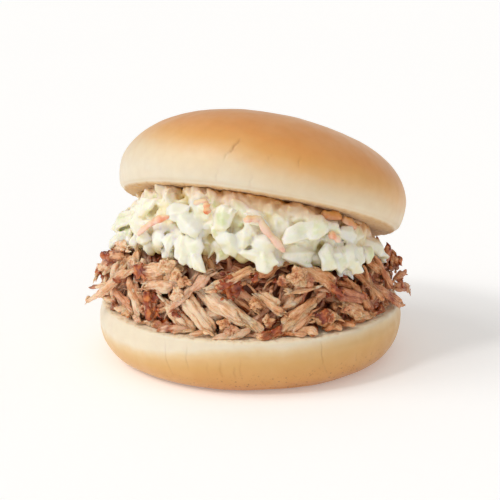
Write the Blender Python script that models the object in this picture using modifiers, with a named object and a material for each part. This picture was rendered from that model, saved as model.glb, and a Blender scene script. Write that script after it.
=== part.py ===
"""Pulled pork sandwich: the heel of a soft round bun, a heap of pulled pork, a heap of creamy coleslaw,
and the bun's crown, which leans back on the filling and dips to the right.

Metres, +Z up. The origin is the centre of the flat underside, and the open front faces -Y."""

import math
import random

import bmesh
import bpy
from mathutils import Euler, Vector, noise

# Bun heel
HEEL_RADIUS = 0.0550
HEEL_HEIGHT = 0.0200
HEEL_WIDEST_Z = 0.0150
HEEL_CUT_RADIUS = 0.0540
HEEL_FLAT_RADIUS = 0.0420
HEEL_ROUNDNESS = 2.3  # exponent of the superellipse from the flat underside to the widest ring

# Bun crown, in its own frame: its cut face is z = 0
CROWN_RADIUS = 0.0520
CROWN_HEIGHT = 0.0350
CROWN_WIDEST_Z = 0.0100
CROWN_CUT_RADIUS = 0.0497
CROWN_SIDE_ROUNDNESS = 2.55
CROWN_TOP_ROUNDNESS = 1.84
CROWN_CENTRE = Vector((0.0029, 0.0, 0.0505))  # the middle of the cut face
CROWN_LEAN_BACK = math.radians(21.0)
CROWN_DIP_RIGHT = math.radians(9.6)

BUN_STEPS = 48
CUT_EDGE_ROUND = 0.0007
BUN_UNEVENNESS = 0.0006

# Filling
GAP = 0.0004  # between neighbours, which touch in the real sandwich
PORK_SHARE = 0.55  # of the height from heel to crown
PORK_RADIUS = 0.0490
PORK_SIDE_REACH = 0.0022
SLAW_RADIUS = 0.0460
SLAW_SIDE_REACH = 0.0008
SLAW_DRAW_IN = 0.21
LUMP_SIZE = 0.0024
SHOULDER_START = 0.036  # distance from the middle at which the top of the pork starts to slope down
SHOULDER_END = 0.052
SHOULDER_DROP = 0.006
RIGHT_RISE = 0.009  # at its right-hand rim the pork climbs past the slaw, up to the crown
HEAP_STEPS = 40

# Shreds of pork and chopped cabbage that stand out of the heaps
SHRED_COUNT = 92
SHRED_LENGTH = (0.013, 0.024)
SHRED_WIDTH = (0.0036, 0.0062)
LEAF_COUNT = 84
LEAF_LENGTH = (0.008, 0.014)
LEAF_WIDTH = (0.005, 0.008)
LEAF_THICKNESS = 0.0030

# Shreds and leaves that set the outline. Each runs from its root to its tip, both given as an angle round
# the heap in degrees from +X and a height; then come the tip's distance from the middle and the width.
OUTSTANDING_SHREDS = (
    ((226.0, 0.0420), (196.0, 0.0225), 0.0600, 0.0046),  # the long one across the front left
    ((192.0, 0.0395), (185.0, 0.0370), 0.0565, 0.0058),
    ((199.0, 0.0300), (188.0, 0.0262), 0.0590, 0.0040),
    ((178.0, 0.0350), (182.0, 0.0320), 0.0560, 0.0050),
    ((-20.0, 0.0330), (-5.0, 0.0240), 0.0585, 0.0058),
    ((-13.0, 0.0275), (-2.0, 0.0305), 0.0570, 0.0046),
    ((-9.0, 0.0290), (-3.0, 0.0390), 0.0515, 0.0056),
    ((8.0, 0.0320), (-2.0, 0.0350), 0.0548, 0.0056),
    ((6.0, 0.0380), (-1.0, 0.0400), 0.0500, 0.0050),
    ((-44.0, 0.0350), (-27.0, 0.0232), 0.0545, 0.0042),
    ((140.0, 0.0300), (156.0, 0.0240), 0.0570, 0.0046),
    ((70.0, 0.0270), (84.0, 0.0236), 0.0555, 0.0046),
    ((38.0, 0.0300), (28.0, 0.0240), 0.0560, 0.0046),
)
OUTSTANDING_LEAVES = (
    ((202.0, 0.0520), (184.0, 0.0458), 0.0500, 0.0070),
    ((200.0, 0.0470), (190.0, 0.0425), 0.0500, 0.0054),
    ((-24.0, 0.0460), (-9.0, 0.0395), 0.0497, 0.0070),
    ((250.0, 0.0570), (253.0, 0.0445), 0.0515, 0.0080),
    ((-92.0, 0.0540), (-86.0, 0.0435), 0.0515, 0.0090),
    ((-50.0, 0.0490), (-45.0, 0.0400), 0.0510, 0.0090),
)

HEAP_VOXEL = 0.0014
PORK_KEEP = 0.110  # share of the remeshed faces that the decimation keeps
SLAW_KEEP = 0.084


def clear_scene():
    for obj in list(bpy.data.objects):
        bpy.data.objects.remove(obj)


def collection(name):
    made = bpy.data.collections.new(name)
    bpy.context.scene.collection.children.link(made)
    return made


def material(name, colour, roughness):
    made = bpy.data.materials.new(name)
    made.use_nodes = True
    shader = made.node_tree.nodes["Principled BSDF"]
    shader.inputs["Base Color"].default_value = (*colour, 1.0)
    shader.inputs["Roughness"].default_value = roughness
    return made


def add_object(name, mesh, where, finish=None):
    obj = bpy.data.objects.new(name, mesh)
    where.objects.link(obj)
    if finish:
        mesh.materials.clear()
        mesh.materials.append(finish)
    return obj


def bake_modifiers(obj):
    """Makes the evaluated mesh the object's own mesh."""
    bpy.context.view_layer.update()
    evaluated = obj.evaluated_get(bpy.context.evaluated_depsgraph_get())
    mesh = bpy.data.meshes.new_from_object(evaluated)
    obj.modifiers.clear()
    obj.data = mesh
    return obj


def smoothstep(low, high, value):
    t = min(1.0, max(0.0, (value - low) / (high - low)))
    return t * t * (3.0 - 2.0 * t)


# --- Bun -----------------------------------------------------------------------------------------


def turned(name, profile, where, finish):
    """A profile of (radius, height) points, from the top of the axis to its bottom, turned about Z."""
    mesh = bpy.data.meshes.new(name)
    edges = [(i, i + 1) for i in range(len(profile) - 1)]
    mesh.from_pydata([(radius, 0.0, height) for radius, height in profile], edges, [])
    obj = add_object(name, mesh, where, finish)
    screw = obj.modifiers.new("Turn", "SCREW")
    screw.angle = 2.0 * math.pi
    screw.steps = BUN_STEPS
    screw.render_steps = BUN_STEPS
    screw.use_merge_vertices = True
    screw.merge_threshold = 0.00001
    screw.use_smooth_shade = True
    return bake_modifiers(obj)


def superellipse(share, exponent):
    """Sine and cosine of a quarter turn's share, bent to a superellipse."""
    angle = share * math.pi / 2.0
    return math.sin(angle) ** (2.0 / exponent), math.cos(angle) ** (2.0 / exponent)


def heel_profile(grow=0.0):
    """Top of the axis, cut face, rounded cut edge, widest ring, rounded bottom, flat underside."""
    top = HEEL_HEIGHT + grow
    cut = HEEL_CUT_RADIUS + grow
    widest = HEEL_RADIUS + grow
    points = [(0.0, top), (cut * 0.5, top), (cut - CUT_EDGE_ROUND, top), (cut, top - CUT_EDGE_ROUND)]
    points.append(((cut + widest) / 2.0 + 0.0003, (top + HEEL_WIDEST_Z) / 2.0))
    corners = 9
    for i in range(corners, -1, -1):
        out, down = superellipse(i / corners, HEEL_ROUNDNESS)
        radius = HEEL_FLAT_RADIUS + (widest - HEEL_FLAT_RADIUS) * out
        points.append((radius, HEEL_WIDEST_Z * (1.0 - down)))
    points.append((0.0, 0.0))
    return points


def crown_profile():
    """Top of the dome, dome, widest ring, side that draws in, rounded cut edge, cut face."""
    points = [(0.0, CROWN_HEIGHT)]
    rings = 14
    rise = CROWN_HEIGHT - CROWN_WIDEST_Z
    for i in range(rings - 1, -1, -1):
        up = superellipse(i / rings, CROWN_TOP_ROUNDNESS)[0]
        out = superellipse(i / rings, CROWN_SIDE_ROUNDNESS)[1]
        points.append((CROWN_RADIUS * out, CROWN_WIDEST_Z + rise * up))
    for share in (0.55, 0.2):
        inset = (CROWN_RADIUS - CROWN_CUT_RADIUS) * (1.0 - share) ** 2
        points.append((CROWN_RADIUS - inset, CROWN_WIDEST_Z * share))
    points.append((CROWN_CUT_RADIUS, CUT_EDGE_ROUND))
    points.append((CROWN_CUT_RADIUS - CUT_EDGE_ROUND, 0.0))
    points.append((CROWN_CUT_RADIUS * 0.5, 0.0))
    points.append((0.0, 0.0))
    return points


def make_uneven(obj, flat_z, seed):
    """Moves the crust in and out a little, as dough rises unevenly, and leaves the face at flat_z plane."""
    for vertex in obj.data.vertices:
        place = vertex.co
        swell = noise.noise(Vector((place.x * 28.0, place.y * 28.0, place.z * 28.0 + seed)))
        outward = Vector((place.x, place.y, 0.0))
        if outward.length > 0.001:
            place += outward.normalized() * swell * BUN_UNEVENNESS
        if abs(place.z - flat_z) > 0.002 and place.z > 0.002:
            place.z += swell * BUN_UNEVENNESS
    return obj


def build_heel(where):
    finish = material("heel_crust", (0.80, 0.56, 0.28), 0.6)
    return make_uneven(turned("bun_heel", heel_profile(), where, finish), HEEL_HEIGHT, 3.0)


def crown_rotation():
    return Euler((-CROWN_LEAN_BACK, CROWN_DIP_RIGHT, 0.0), "XYZ")


def build_crown(where):
    finish = material("crown_crust", (0.74, 0.42, 0.17), 0.5)
    obj = make_uneven(turned("bun_crown", crown_profile(), where, finish), 0.0, 8.0)
    obj.location = CROWN_CENTRE
    obj.rotation_euler = crown_rotation()
    return obj


# --- Surfaces that part the layers ---------------------------------------------------------------


def crown_face_z(x, y):
    """Height of the crown's cut face over (x, y)."""
    normal = crown_rotation().to_matrix() @ Vector((0.0, 0.0, 1.0))
    slope = normal.x * (x - CROWN_CENTRE.x) + normal.y * (y - CROWN_CENTRE.y)
    return CROWN_CENTRE.z - slope / normal.z


def pork_top_z(x, y):
    """Height at which the pork ends and the slaw starts: it follows the crown, and droops at the rim."""
    radius = math.hypot(x, y)
    inner = min(1.0, SHOULDER_END / max(radius, 0.001))
    level = HEEL_HEIGHT + PORK_SHARE * (crown_face_z(x * inner, y * inner) - HEEL_HEIGHT)
    hang = 0.65 + 0.35 * math.cos(8.0 * math.atan2(y, x))
    drop = SHOULDER_DROP * hang * smoothstep(SHOULDER_START, SHOULDER_END, radius)
    right = max(0.0, x / max(radius, 0.001)) ** 14
    rise = RIGHT_RISE * right * smoothstep(0.0435, 0.0500, radius)
    lumps = 0.0012 * noise.noise(Vector((x * 90.0, y * 90.0, 1.7)))
    low = HEEL_HEIGHT + 0.006
    return max(low, level - drop * (1.0 - right)) + rise + lumps


def layer_cutter(name, offset, end_z, where):
    """A block from the pork's top surface, moved by offset, up or down to end_z."""
    cells = 22
    half = 0.066
    mesh_data = bmesh.new()
    bmesh.ops.create_grid(mesh_data, x_segments=cells, y_segments=cells, size=half)
    for vertex in mesh_data.verts:
        vertex.co.z = pork_top_z(vertex.co.x, vertex.co.y) + offset
    bmesh.ops.triangulate(mesh_data, faces=list(mesh_data.faces))
    side = bmesh.ops.extrude_face_region(mesh_data, geom=list(mesh_data.faces))["geom"]
    for item in side:
        if isinstance(item, bmesh.types.BMVert):
            item.co.z = end_z
    bmesh.ops.recalc_face_normals(mesh_data, faces=list(mesh_data.faces))
    mesh = bpy.data.meshes.new(name)
    mesh_data.to_mesh(mesh)
    mesh_data.free()
    return hide_cutter(add_object(name, mesh, where))


def crown_cutter(where):
    """A block that starts just under the crown's cut face, and leans as the crown does."""
    size = 0.20
    mesh_data = bmesh.new()
    bmesh.ops.create_cube(mesh_data, size=size)
    mesh = bpy.data.meshes.new("crown_cutter")
    mesh_data.to_mesh(mesh)
    mesh_data.free()
    obj = add_object("crown_cutter", mesh, where)
    up = crown_rotation().to_matrix() @ Vector((0.0, 0.0, 1.0))
    obj.rotation_euler = crown_rotation()
    obj.location = CROWN_CENTRE + up * (size / 2.0 - GAP)
    return hide_cutter(obj)


def heel_cutter(where):
    finish = material("cutter", (0.5, 0.5, 0.5), 1.0)
    return hide_cutter(turned("heel_cutter", heel_profile(GAP + BUN_UNEVENNESS), where, finish))


def hide_cutter(obj):
    obj.hide_render = True
    obj.display_type = "WIRE"
    return obj


def cut(obj, cutter):
    """Takes the cutter out of the object."""
    boolean = obj.modifiers.new("Cut_" + cutter.name, "BOOLEAN")
    boolean.operation = "DIFFERENCE"
    boolean.object = cutter
    return bake_modifiers(obj)


def keep_largest(obj):
    """Deletes the scraps that the cutters part from a heap."""
    mesh_data = bmesh.new()
    mesh_data.from_mesh(obj.data)
    groups = []
    waiting = set(mesh_data.verts)
    while waiting:
        group = set()
        front = [waiting.pop()]
        while front:
            vertex = front.pop()
            group.add(vertex)
            for edge in vertex.link_edges:
                other = edge.other_vert(vertex)
                if other in waiting:
                    waiting.remove(other)
                    front.append(other)
        groups.append(group)
    groups.sort(key=len)
    scraps = [vertex for group in groups[:-1] for vertex in group]
    bmesh.ops.delete(mesh_data, geom=scraps, context="VERTS")
    mesh_data.to_mesh(obj.data)
    mesh_data.free()
    return obj


# --- Filling -------------------------------------------------------------------------------------


def add_heap(mesh_data, reach_of, low_of, high_of, seed):
    """A lumpy mound from low to high and past both, as wide as reach_of(angle, share of the way up)."""
    rings = 13
    past = 0.12  # how far it goes on under low and over high, for the cutters to trim
    made = bmesh.ops.create_cone(
        mesh_data, cap_ends=True, segments=HEAP_STEPS, radius1=1.0, radius2=1.0, depth=1.0
    )["verts"]
    edges = {edge for vertex in made for edge in vertex.link_edges}
    sides = [edge for edge in edges if abs(edge.verts[0].co.z - edge.verts[1].co.z) > 0.5]
    bmesh.ops.subdivide_edges(mesh_data, edges=sides, cuts=rings - 1)
    for vertex in mesh_data.verts:
        angle = math.atan2(vertex.co.y, vertex.co.x)
        share = (vertex.co.z + 0.5) * (1.0 + 2.0 * past) - past
        reach = reach_of(angle, min(1.0, max(0.0, share)))
        low = low_of(reach * math.cos(angle), reach * math.sin(angle))
        high = high_of(reach * math.cos(angle), reach * math.sin(angle))
        height = low + (high - low) * share
        lump_place = Vector((2.6 * math.cos(angle), 2.6 * math.sin(angle), height * 70.0 + seed))
        reach += LUMP_SIZE * noise.noise(lump_place)
        vertex.co = Vector((reach * math.cos(angle), reach * math.sin(angle), height))


def pork_reach(angle, share):
    """Distance of the pork's side from the middle: widest a third of the way up, and wider to both sides."""
    wide = PORK_RADIUS + PORK_SIDE_REACH * math.cos(2.0 * angle)
    return wide * (1.0 - 0.16 * (share - 0.35) ** 2)


def slaw_reach(angle, share):
    """Distance of the slaw's side from the middle: widest at the bottom, drawing in under the crown."""
    wide = SLAW_RADIUS + SLAW_SIDE_REACH * math.cos(2.0 * angle)
    return wide * (1.0 - SLAW_DRAW_IN * share ** 1.25)


def heel_top_z(_x, _y):
    return HEEL_HEIGHT


def add_tube(mesh_data, points, widths, thickness_share, flat_normal):
    """A closed tube through points: an oval of the given widths, thinner along flat_normal."""
    sides = 6
    rings = []
    for i, point in enumerate(points):
        ahead = points[min(i + 1, len(points) - 1)] - points[max(i - 1, 0)]
        across = ahead.cross(flat_normal).normalized()
        up = across.cross(ahead).normalized()
        ring = []
        for k in range(sides):
            turn = 2.0 * math.pi * k / sides
            offset = across * math.cos(turn) + up * math.sin(turn) * thickness_share
            ring.append(mesh_data.verts.new(point + offset * widths[i] / 2.0))
        rings.append(ring)
    for first, second in zip(rings, rings[1:]):
        for k in range(sides):
            n = (k + 1) % sides
            mesh_data.faces.new((first[k], first[n], second[n], second[k]))
    mesh_data.faces.new(list(reversed(rings[0])))
    mesh_data.faces.new(rings[-1])


def bent_line(centre, along, sag, length, count):
    """Points of a shallow arch through centre: its ends sink along sag."""
    points = []
    for i in range(count):
        share = 2.0 * i / (count - 1) - 1.0
        points.append(centre + along * (share * length / 2.0) - sag * share * share)
    return points


def side_frame(angle, radius, height):
    """Place on the side of a heap, its outward direction, and the direction round it."""
    outward = Vector((math.cos(angle), math.sin(angle), 0.0))
    round_it = Vector((-math.sin(angle), math.cos(angle), 0.0))
    return outward * radius + Vector((0.0, 0.0, height)), outward, round_it


def pork_shreds():
    """Centre, direction, outward normal, sag, length and width of each shred on the side of the pork."""
    draw = random.Random(11)
    for i in range(SHRED_COUNT):
        angle = 2.0 * math.pi * (i + draw.uniform(-0.4, 0.4)) / SHRED_COUNT * 3.0
        share = draw.random()
        reach = pork_reach(angle, share)
        top = pork_top_z(reach * math.cos(angle), reach * math.sin(angle)) - 0.002
        low = HEEL_HEIGHT + 0.003
        height = low + (top - low) * share
        place, outward, round_it = side_frame(angle, reach + draw.uniform(0.0, 0.0022), height)
        steep = math.radians(draw.gauss(0.0, 38.0))
        along = round_it * math.cos(steep) + Vector((0.0, 0.0, 1.0)) * math.sin(steep)
        along = (along + outward * draw.uniform(-0.35, 0.35)).normalized()
        length = draw.uniform(*SHRED_LENGTH)
        width = draw.uniform(*SHRED_WIDTH)
        yield place, along, outward, outward * length * 0.16, length, width


def in_the_round(degrees, reach, height):
    angle = math.radians(degrees)
    return Vector((reach * math.cos(angle), reach * math.sin(angle), height))


def add_outstanding(mesh_data, bits, root_reach, thickness_share):
    """Bits that start on the side of a heap and stand out of it, bowed outwards."""
    for root, tip, tip_reach, width in bits:
        start = in_the_round(root[0], root_reach, root[1])
        end = in_the_round(tip[0], tip_reach, tip[1])
        outward = Vector((end.x, end.y, 0.0)).normalized()
        half_height = (root[1] + tip[1]) / 2.0
        middle = in_the_round((root[0] + tip[0]) / 2.0, (root_reach + tip_reach) / 2.0, half_height)
        points = [start, start.lerp(middle, 0.5), middle, middle.lerp(end, 0.5), end]
        widths = [width * share for share in (0.8, 1.0, 1.0, 0.85, 0.5)]
        add_tube(mesh_data, points, widths, thickness_share, outward)


def build_pork(where, cutters):
    mesh_data = bmesh.new()
    add_heap(mesh_data, pork_reach, heel_top_z, pork_top_z, 5.0)
    for place, along, normal, sag, length, width in pork_shreds():
        points = bent_line(place, along, sag, length, 6)
        widths = [width * share for share in (0.45, 0.9, 1.0, 1.0, 0.8, 0.35)]
        add_tube(mesh_data, points, widths, 0.75, normal)
    add_outstanding(mesh_data, OUTSTANDING_SHREDS, PORK_RADIUS - 0.001, 0.75)
    finish = material("pulled_pork", (0.45, 0.24, 0.13), 0.55)
    obj = heap_object("pulled_pork", mesh_data, PORK_KEEP, where, finish)
    for cutter in cutters:
        cut(obj, cutter)
    return keep_largest(obj)


def slaw_leaves():
    """Centre, direction, outward normal, sag, length and width of each bit of cabbage on the slaw's side."""
    draw = random.Random(23)
    for i in range(LEAF_COUNT):
        angle = 2.0 * math.pi * (i + draw.uniform(-0.4, 0.4)) / LEAF_COUNT * 3.0
        share = draw.random()
        reach = slaw_reach(angle, share)
        low = pork_top_z(reach * math.cos(angle), reach * math.sin(angle))
        top = crown_face_z(reach * math.cos(angle), reach * math.sin(angle)) - 0.002
        height = low + (top - low) * share
        place, outward, round_it = side_frame(angle, reach + draw.uniform(-0.0005, 0.0022), height)
        steep = math.radians(draw.gauss(-20.0, 50.0))
        along = round_it * math.cos(steep) + Vector((0.0, 0.0, 1.0)) * math.sin(steep)
        along = (along + outward * draw.uniform(-0.3, 0.5)).normalized()
        length = draw.uniform(*LEAF_LENGTH)
        width = draw.uniform(*LEAF_WIDTH)
        yield place, along, outward, outward * length * 0.14, length, width


def build_slaw(where, cutters):
    mesh_data = bmesh.new()
    add_heap(mesh_data, slaw_reach, pork_top_z, crown_face_z, 9.0)
    for place, along, normal, sag, length, width in slaw_leaves():
        points = bent_line(place, along, sag, length, 5)
        widths = [width * share for share in (0.5, 1.0, 0.9, 1.0, 0.4)]
        add_tube(mesh_data, points, widths, LEAF_THICKNESS / width, normal)
    add_outstanding(mesh_data, OUTSTANDING_LEAVES, SLAW_RADIUS - 0.001, 0.45)
    finish = material("coleslaw", (0.86, 0.86, 0.72), 0.35)
    obj = heap_object("coleslaw", mesh_data, SLAW_KEEP, where, finish)
    for cutter in cutters:
        cut(obj, cutter)
    return keep_largest(obj)


def heap_object(name, mesh_data, keep, where, finish):
    """One closed skin round all the overlapping shapes, with no more faces than it needs."""
    mesh = bpy.data.meshes.new(name)
    bmesh.ops.recalc_face_normals(mesh_data, faces=list(mesh_data.faces))
    mesh_data.to_mesh(mesh)
    mesh_data.free()
    obj = add_object(name, mesh, where, finish)
    remesh = obj.modifiers.new("One_skin", "REMESH")
    remesh.mode = "VOXEL"
    remesh.voxel_size = HEAP_VOXEL
    decimate = obj.modifiers.new("Fewer_faces", "DECIMATE")
    decimate.ratio = keep
    return bake_modifiers(obj)


def main():
    clear_scene()
    sandwich = collection("pulled_pork_sandwich")
    cutters = collection("cutters")
    build_heel(sandwich)
    build_crown(sandwich)
    above_pork = layer_cutter("above_pork", -GAP / 2.0, 0.12, cutters)
    below_slaw = layer_cutter("below_slaw", GAP / 2.0, -0.02, cutters)
    crown_block = crown_cutter(cutters)
    build_pork(sandwich, (above_pork, heel_cutter(cutters), crown_block))
    build_slaw(sandwich, (below_slaw, crown_block))


main()
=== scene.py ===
"""Looks of the pulled pork sandwich: fine bread surfaces, real shreds of pork and a creamy cabbage slaw,
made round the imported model. Metres, +Z up; the open front faces -Y."""

import math
import random

import bmesh
import bpy
import numpy as np
from mathutils import Euler, Matrix, Vector, noise
from mathutils.kdtree import KDTree


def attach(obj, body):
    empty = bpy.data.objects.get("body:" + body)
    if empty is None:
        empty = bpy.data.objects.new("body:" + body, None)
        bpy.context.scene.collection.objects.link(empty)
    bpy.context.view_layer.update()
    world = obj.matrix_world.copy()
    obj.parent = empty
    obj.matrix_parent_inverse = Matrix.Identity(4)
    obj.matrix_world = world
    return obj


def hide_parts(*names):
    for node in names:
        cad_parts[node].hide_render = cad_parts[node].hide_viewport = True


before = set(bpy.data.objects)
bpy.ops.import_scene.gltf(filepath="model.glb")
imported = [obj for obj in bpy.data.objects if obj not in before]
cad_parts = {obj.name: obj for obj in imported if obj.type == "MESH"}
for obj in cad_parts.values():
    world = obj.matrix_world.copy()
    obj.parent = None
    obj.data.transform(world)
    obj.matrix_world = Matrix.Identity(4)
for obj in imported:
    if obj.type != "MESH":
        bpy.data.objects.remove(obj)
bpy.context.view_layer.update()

MM = 0.001
UP = np.array((0.0, 0.0, 1.0))
LEVEL = np.array((1.0, 1.0, 0.0))
GOLDEN_STEP = 0.6180339887

# --- Sizes shared with the construction ---

HEEL_RADIUS = 0.0550
HEEL_HEIGHT = 0.0200
HEEL_WIDEST_Z = 0.0150
HEEL_CUT_RADIUS = 0.0540
HEEL_FLAT_RADIUS = 0.0420
HEEL_ROUNDNESS = 2.3
HEEL_SEED = 3.0

CROWN_RADIUS = 0.0520
CROWN_HEIGHT = 0.0350
CROWN_WIDEST_Z = 0.0100
CROWN_CUT_RADIUS = 0.0497
CROWN_SIDE_ROUNDNESS = 2.55
CROWN_TOP_ROUNDNESS = 1.84
CROWN_CENTRE = Vector((0.0029, 0.0, 0.0505))
CROWN_TURN = Euler((-math.radians(21.0), math.radians(9.6), 0.0), "XYZ")
CROWN_SEED = 8.0

BUN_UNEVENNESS = 0.0006

PORK_SHARE = 0.55
PORK_RADIUS = 0.0490
PORK_SIDE_REACH = 0.0022
SLAW_RADIUS = 0.0460
SLAW_SIDE_REACH = 0.0008
SLAW_DRAW_IN = 0.21
SHOULDER_START = 0.036
SHOULDER_END = 0.052
SHOULDER_DROP = 0.006
RIGHT_RISE = 0.009

# --- Sizes of the looks alone ---

# Bread: how far the filling presses the crown's cut face up, radius of the cut rims, points round the bun
# and their distance down its side, and the crease depth at which the creases' painted shade is darkest
CROWN_CUT_LIFT = 0.0013
CUT_ROUNDING = 0.0011
BUN_SEGMENTS = 440
BUN_STEP = 0.00070
FULL_CREASE = 0.00045

# Heaps: how far up the lowest shreds lie, how far back the top ones lean in degrees, how far the slaw
# reaches past its solid, how thick the outermost layer is, and how deep the painted shade in the gaps and
# under the crown goes
FOOT_LIFT = 0.0018
SHOULDER_LEAN = 65.0
SLAW_BULGE = 0.0030
SLAW_FRONT_BULGE = 0.0032
SLAW_LEFT_DRAW_IN = 0.0034
OUTER_LAYER = 0.0012
PIT_DEPTH = 0.0065
CROWN_SHADE = 0.0075

# Shreds: how sharply their skin dips between bundles of fibres, relief of fibres and threads, the width
# from which a shred frays, and the tone up to which it is glazed and smooth
SKIN_SHARPNESS = 5.0
FIBRE_RELIEF = 0.00044
THREAD_RELIEF = 0.00026
FRAYED_WIDTH = 0.0030
GLAZED_TONE = 0.20

# Gap under the heaps' cores and rings of points up them, length from which a leaf gets more points, distance
# between drops of sauce, and the fineness of the skins over the sauce and the slaw
CORE_LIFT = 0.0003
CORE_ROWS = 18
LARGE_LEAF = 0.0090
SAUCE_CELL = 0.0006
SAUCE_VOXEL = 0.00030
SLAW_VOXEL = 0.00044

# Where each kind of scattered piece starts its random draws
SEEDS = {
    "front_shreds": 17,
    "frays": 41,
    "foot": 29,
    "front_clumps": 29,
    "clumps": 83,
    "sauce_spots": 5,
    "sauce_drops": 37,
    "front_leaves": 61,
    "leaves": 71,
    "front_carrots": 91,
    "carrots": 97,
}

# --- View and light ---

CAMERA_DISTANCE = 0.600
CAMERA_ELEVATION = math.radians(15.0)
CAMERA_PIVOT = Vector((0.0, 0.0, 0.045))
CAMERA_AIM = Vector((0.0, 0.0, 0.0372))
CAMERA_LENS = 119.5

# Where each light comes from, its strength, and its softness in degrees
LIGHTS = {
    "Key": ((-0.90, -0.25, 0.80), 0.93, 40.0),
    "Glint": ((-0.80, -0.60, 0.90), 0.54, 9.0),
    "Fill": ((0.15, -1.00, 0.30), 0.24, 60.0),
}
LIGHT_TINT = (1.0, 0.985, 0.96)
SKY_TINT = (1.0, 0.985, 0.965, 1.0)
SKY_STRENGTH = 0.50
FLOOR_GLOW = 0.20


# --- Small helpers ---


def smoothstep(low, high, value):
    t = np.clip((value - low) / (high - low), 0.0, 1.0)
    return t * t * (3.0 - 2.0 * t)


def unit(vectors):
    return vectors / np.maximum(np.linalg.norm(vectors, axis=-1, keepdims=True), 1e-12)


def round_axis(points):
    """The direction round Z of each point, and its distance from Z."""
    x, y = points[..., 0], points[..., 1]
    return np.arctan2(y, x), np.hypot(x, y)


def share_of(low, high, height):
    """Where a height lies between low and high, from 0 to 1."""
    return np.clip((height - low) / np.maximum(high - low, 0.001), 0.0, 1.0)


def full_turn(count):
    return np.linspace(0.0, 2.0 * math.pi, count, endpoint=False)


def lean(first, second, degrees):
    """The first direction, turned towards the second."""
    turn = math.radians(degrees)
    return first * math.cos(turn) + second * math.sin(turn)


def noise_at(points, scale, seed=0.0):
    """Smooth noise, about -0.7 to 0.7, at each point; scale is in cycles a metre."""
    places = np.asarray(points).reshape(-1, 3) * scale + np.array((seed, -1.7 * seed, 2.3 * seed))
    values = np.fromiter((noise.noise(place) for place in places.tolist()), float, len(places))
    return values.reshape(np.shape(points)[:-1])


def noise_shift(draw):
    """Gives each bit a place of its own in the noise."""
    return np.array([draw.uniform(0.0, 50.0) for _k in range(3)])


def srgb(red, green, blue):
    """Linear colour from the 0 to 255 values of a screen colour."""
    screen = np.array((red, green, blue)) / 255.0
    linear = np.where(screen <= 0.04045, screen / 12.92, ((screen + 0.055) / 1.055) ** 2.4)
    return (*linear.tolist(), 1.0)


# --- Meshes ---


def add_object(name, data):
    obj = bpy.data.objects.new(name, data)
    bpy.context.scene.collection.objects.link(obj)
    return obj


def mesh_object(name, vertices, faces, values):
    """A smooth mesh object; faces are arrays of corner numbers, values are attributes of the vertices."""
    mesh = bpy.data.meshes.new(name)
    corners = np.concatenate([part.ravel() for part in faces]).astype(np.int32)
    sizes = np.concatenate([np.full(len(part), part.shape[1]) for part in faces])
    starts = np.concatenate(([0], np.cumsum(sizes)[:-1])).astype(np.int32)
    mesh.vertices.add(len(vertices))
    mesh.vertices.foreach_set("co", vertices.astype(np.float32).ravel())
    mesh.loops.add(len(corners))
    mesh.loops.foreach_set("vertex_index", corners)
    mesh.polygons.add(len(sizes))
    mesh.polygons.foreach_set("loop_start", starts)
    mesh.update(calc_edges=True)
    mesh.validate()
    add_values(mesh, values)
    mesh.shade_smooth()
    return add_object(name, mesh)


def add_values(mesh, values):
    for key, value in values.items():
        kind, field = ("FLOAT_VECTOR", "vector") if value.ndim == 2 else ("FLOAT", "value")
        made = mesh.attributes.new(key, kind, "POINT")
        made.data.foreach_set(field, value.astype(np.float32).ravel())


def read(items, field, size=3):
    """A field of all items of a mesh, as an array."""
    found = np.zeros(len(items) * size, np.float32)
    items.foreach_get(field, found)
    return found.reshape(-1, size).astype(float)


def positions(mesh):
    return read(mesh.vertices, "co")


def values_of(mesh, key):
    """The values of a vertex attribute as an array."""
    held = mesh.attributes[key]
    if held.data_type == "FLOAT_VECTOR":
        return read(held.data, "vector")
    return read(held.data, "value", 1)[:, 0]


def capped(rings, ends=None):
    """Rings of points or values as one array, then one for each end: given, or the end ring's mean."""
    if ends is None:
        ends = [rings[i].mean(axis=0) for i in (0, -1)]
    return np.concatenate((rings.reshape(-1, *rings.shape[2:]), ends))


def tube_faces(rings, sides):
    """Corner numbers of a closed tube: its rings, then a point at each end."""
    numbers = np.arange(rings * sides).reshape(rings, sides)
    after = np.roll(numbers, -1, axis=1)
    quads = np.stack((numbers[:-1], after[:-1], after[1:], numbers[1:]), axis=2).reshape(-1, 4)
    first, last = rings * sides, rings * sides + 1
    start = np.stack((np.full(sides, first), after[0], numbers[0]), axis=1)
    end = np.stack((np.full(sides, last), numbers[-1], after[-1]), axis=1)
    return np.concatenate((start, end)), quads


def closed_skin(skin, poles):
    """Vertices and faces of a closed skin: rings of points from the top down, and a point at each end."""
    triangles, quads = tube_faces(*skin.shape[:2])
    return capped(skin, poles), (triangles[:, ::-1], np.roll(quads[:, ::-1], 1, axis=1))


class Batch:
    """Collects many small closed shapes into the arrays of one mesh."""

    def __init__(self):
        self.vertices, self.triangles, self.quads, self.values, self.count = [], [], [], {}, 0

    def add(self, vertices, triangles, quads, **values):
        self.vertices.append(vertices)
        self.triangles.append(triangles + self.count)
        self.quads.append(quads + self.count)
        for key, value in values.items():
            every = value if np.ndim(value) else np.full(len(vertices), value)
            self.values.setdefault(key, []).append(every)
        self.count += len(vertices)

    def add_tube(self, skin, **values):
        """Rings of points, closed at each end and pressed between the two halves of the bun."""
        self.add(press(capped(skin)), *tube_faces(*skin.shape[:2]), **values)

    def build(self, name):
        faces = [np.concatenate(part) for part in (self.triangles, self.quads)]
        values = {key: np.concatenate(value) for key, value in self.values.items()}
        return mesh_object(name, np.concatenate(self.vertices), faces, values)


def dress(piece, material, slot, *nodes):
    """Every piece rides on the one body; slot is not used; nodes are what it stands for."""
    piece.data.materials.clear()
    piece.data.materials.append(material)
    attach(piece, "root")
    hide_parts(*nodes)


# --- Node materials ---


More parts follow.
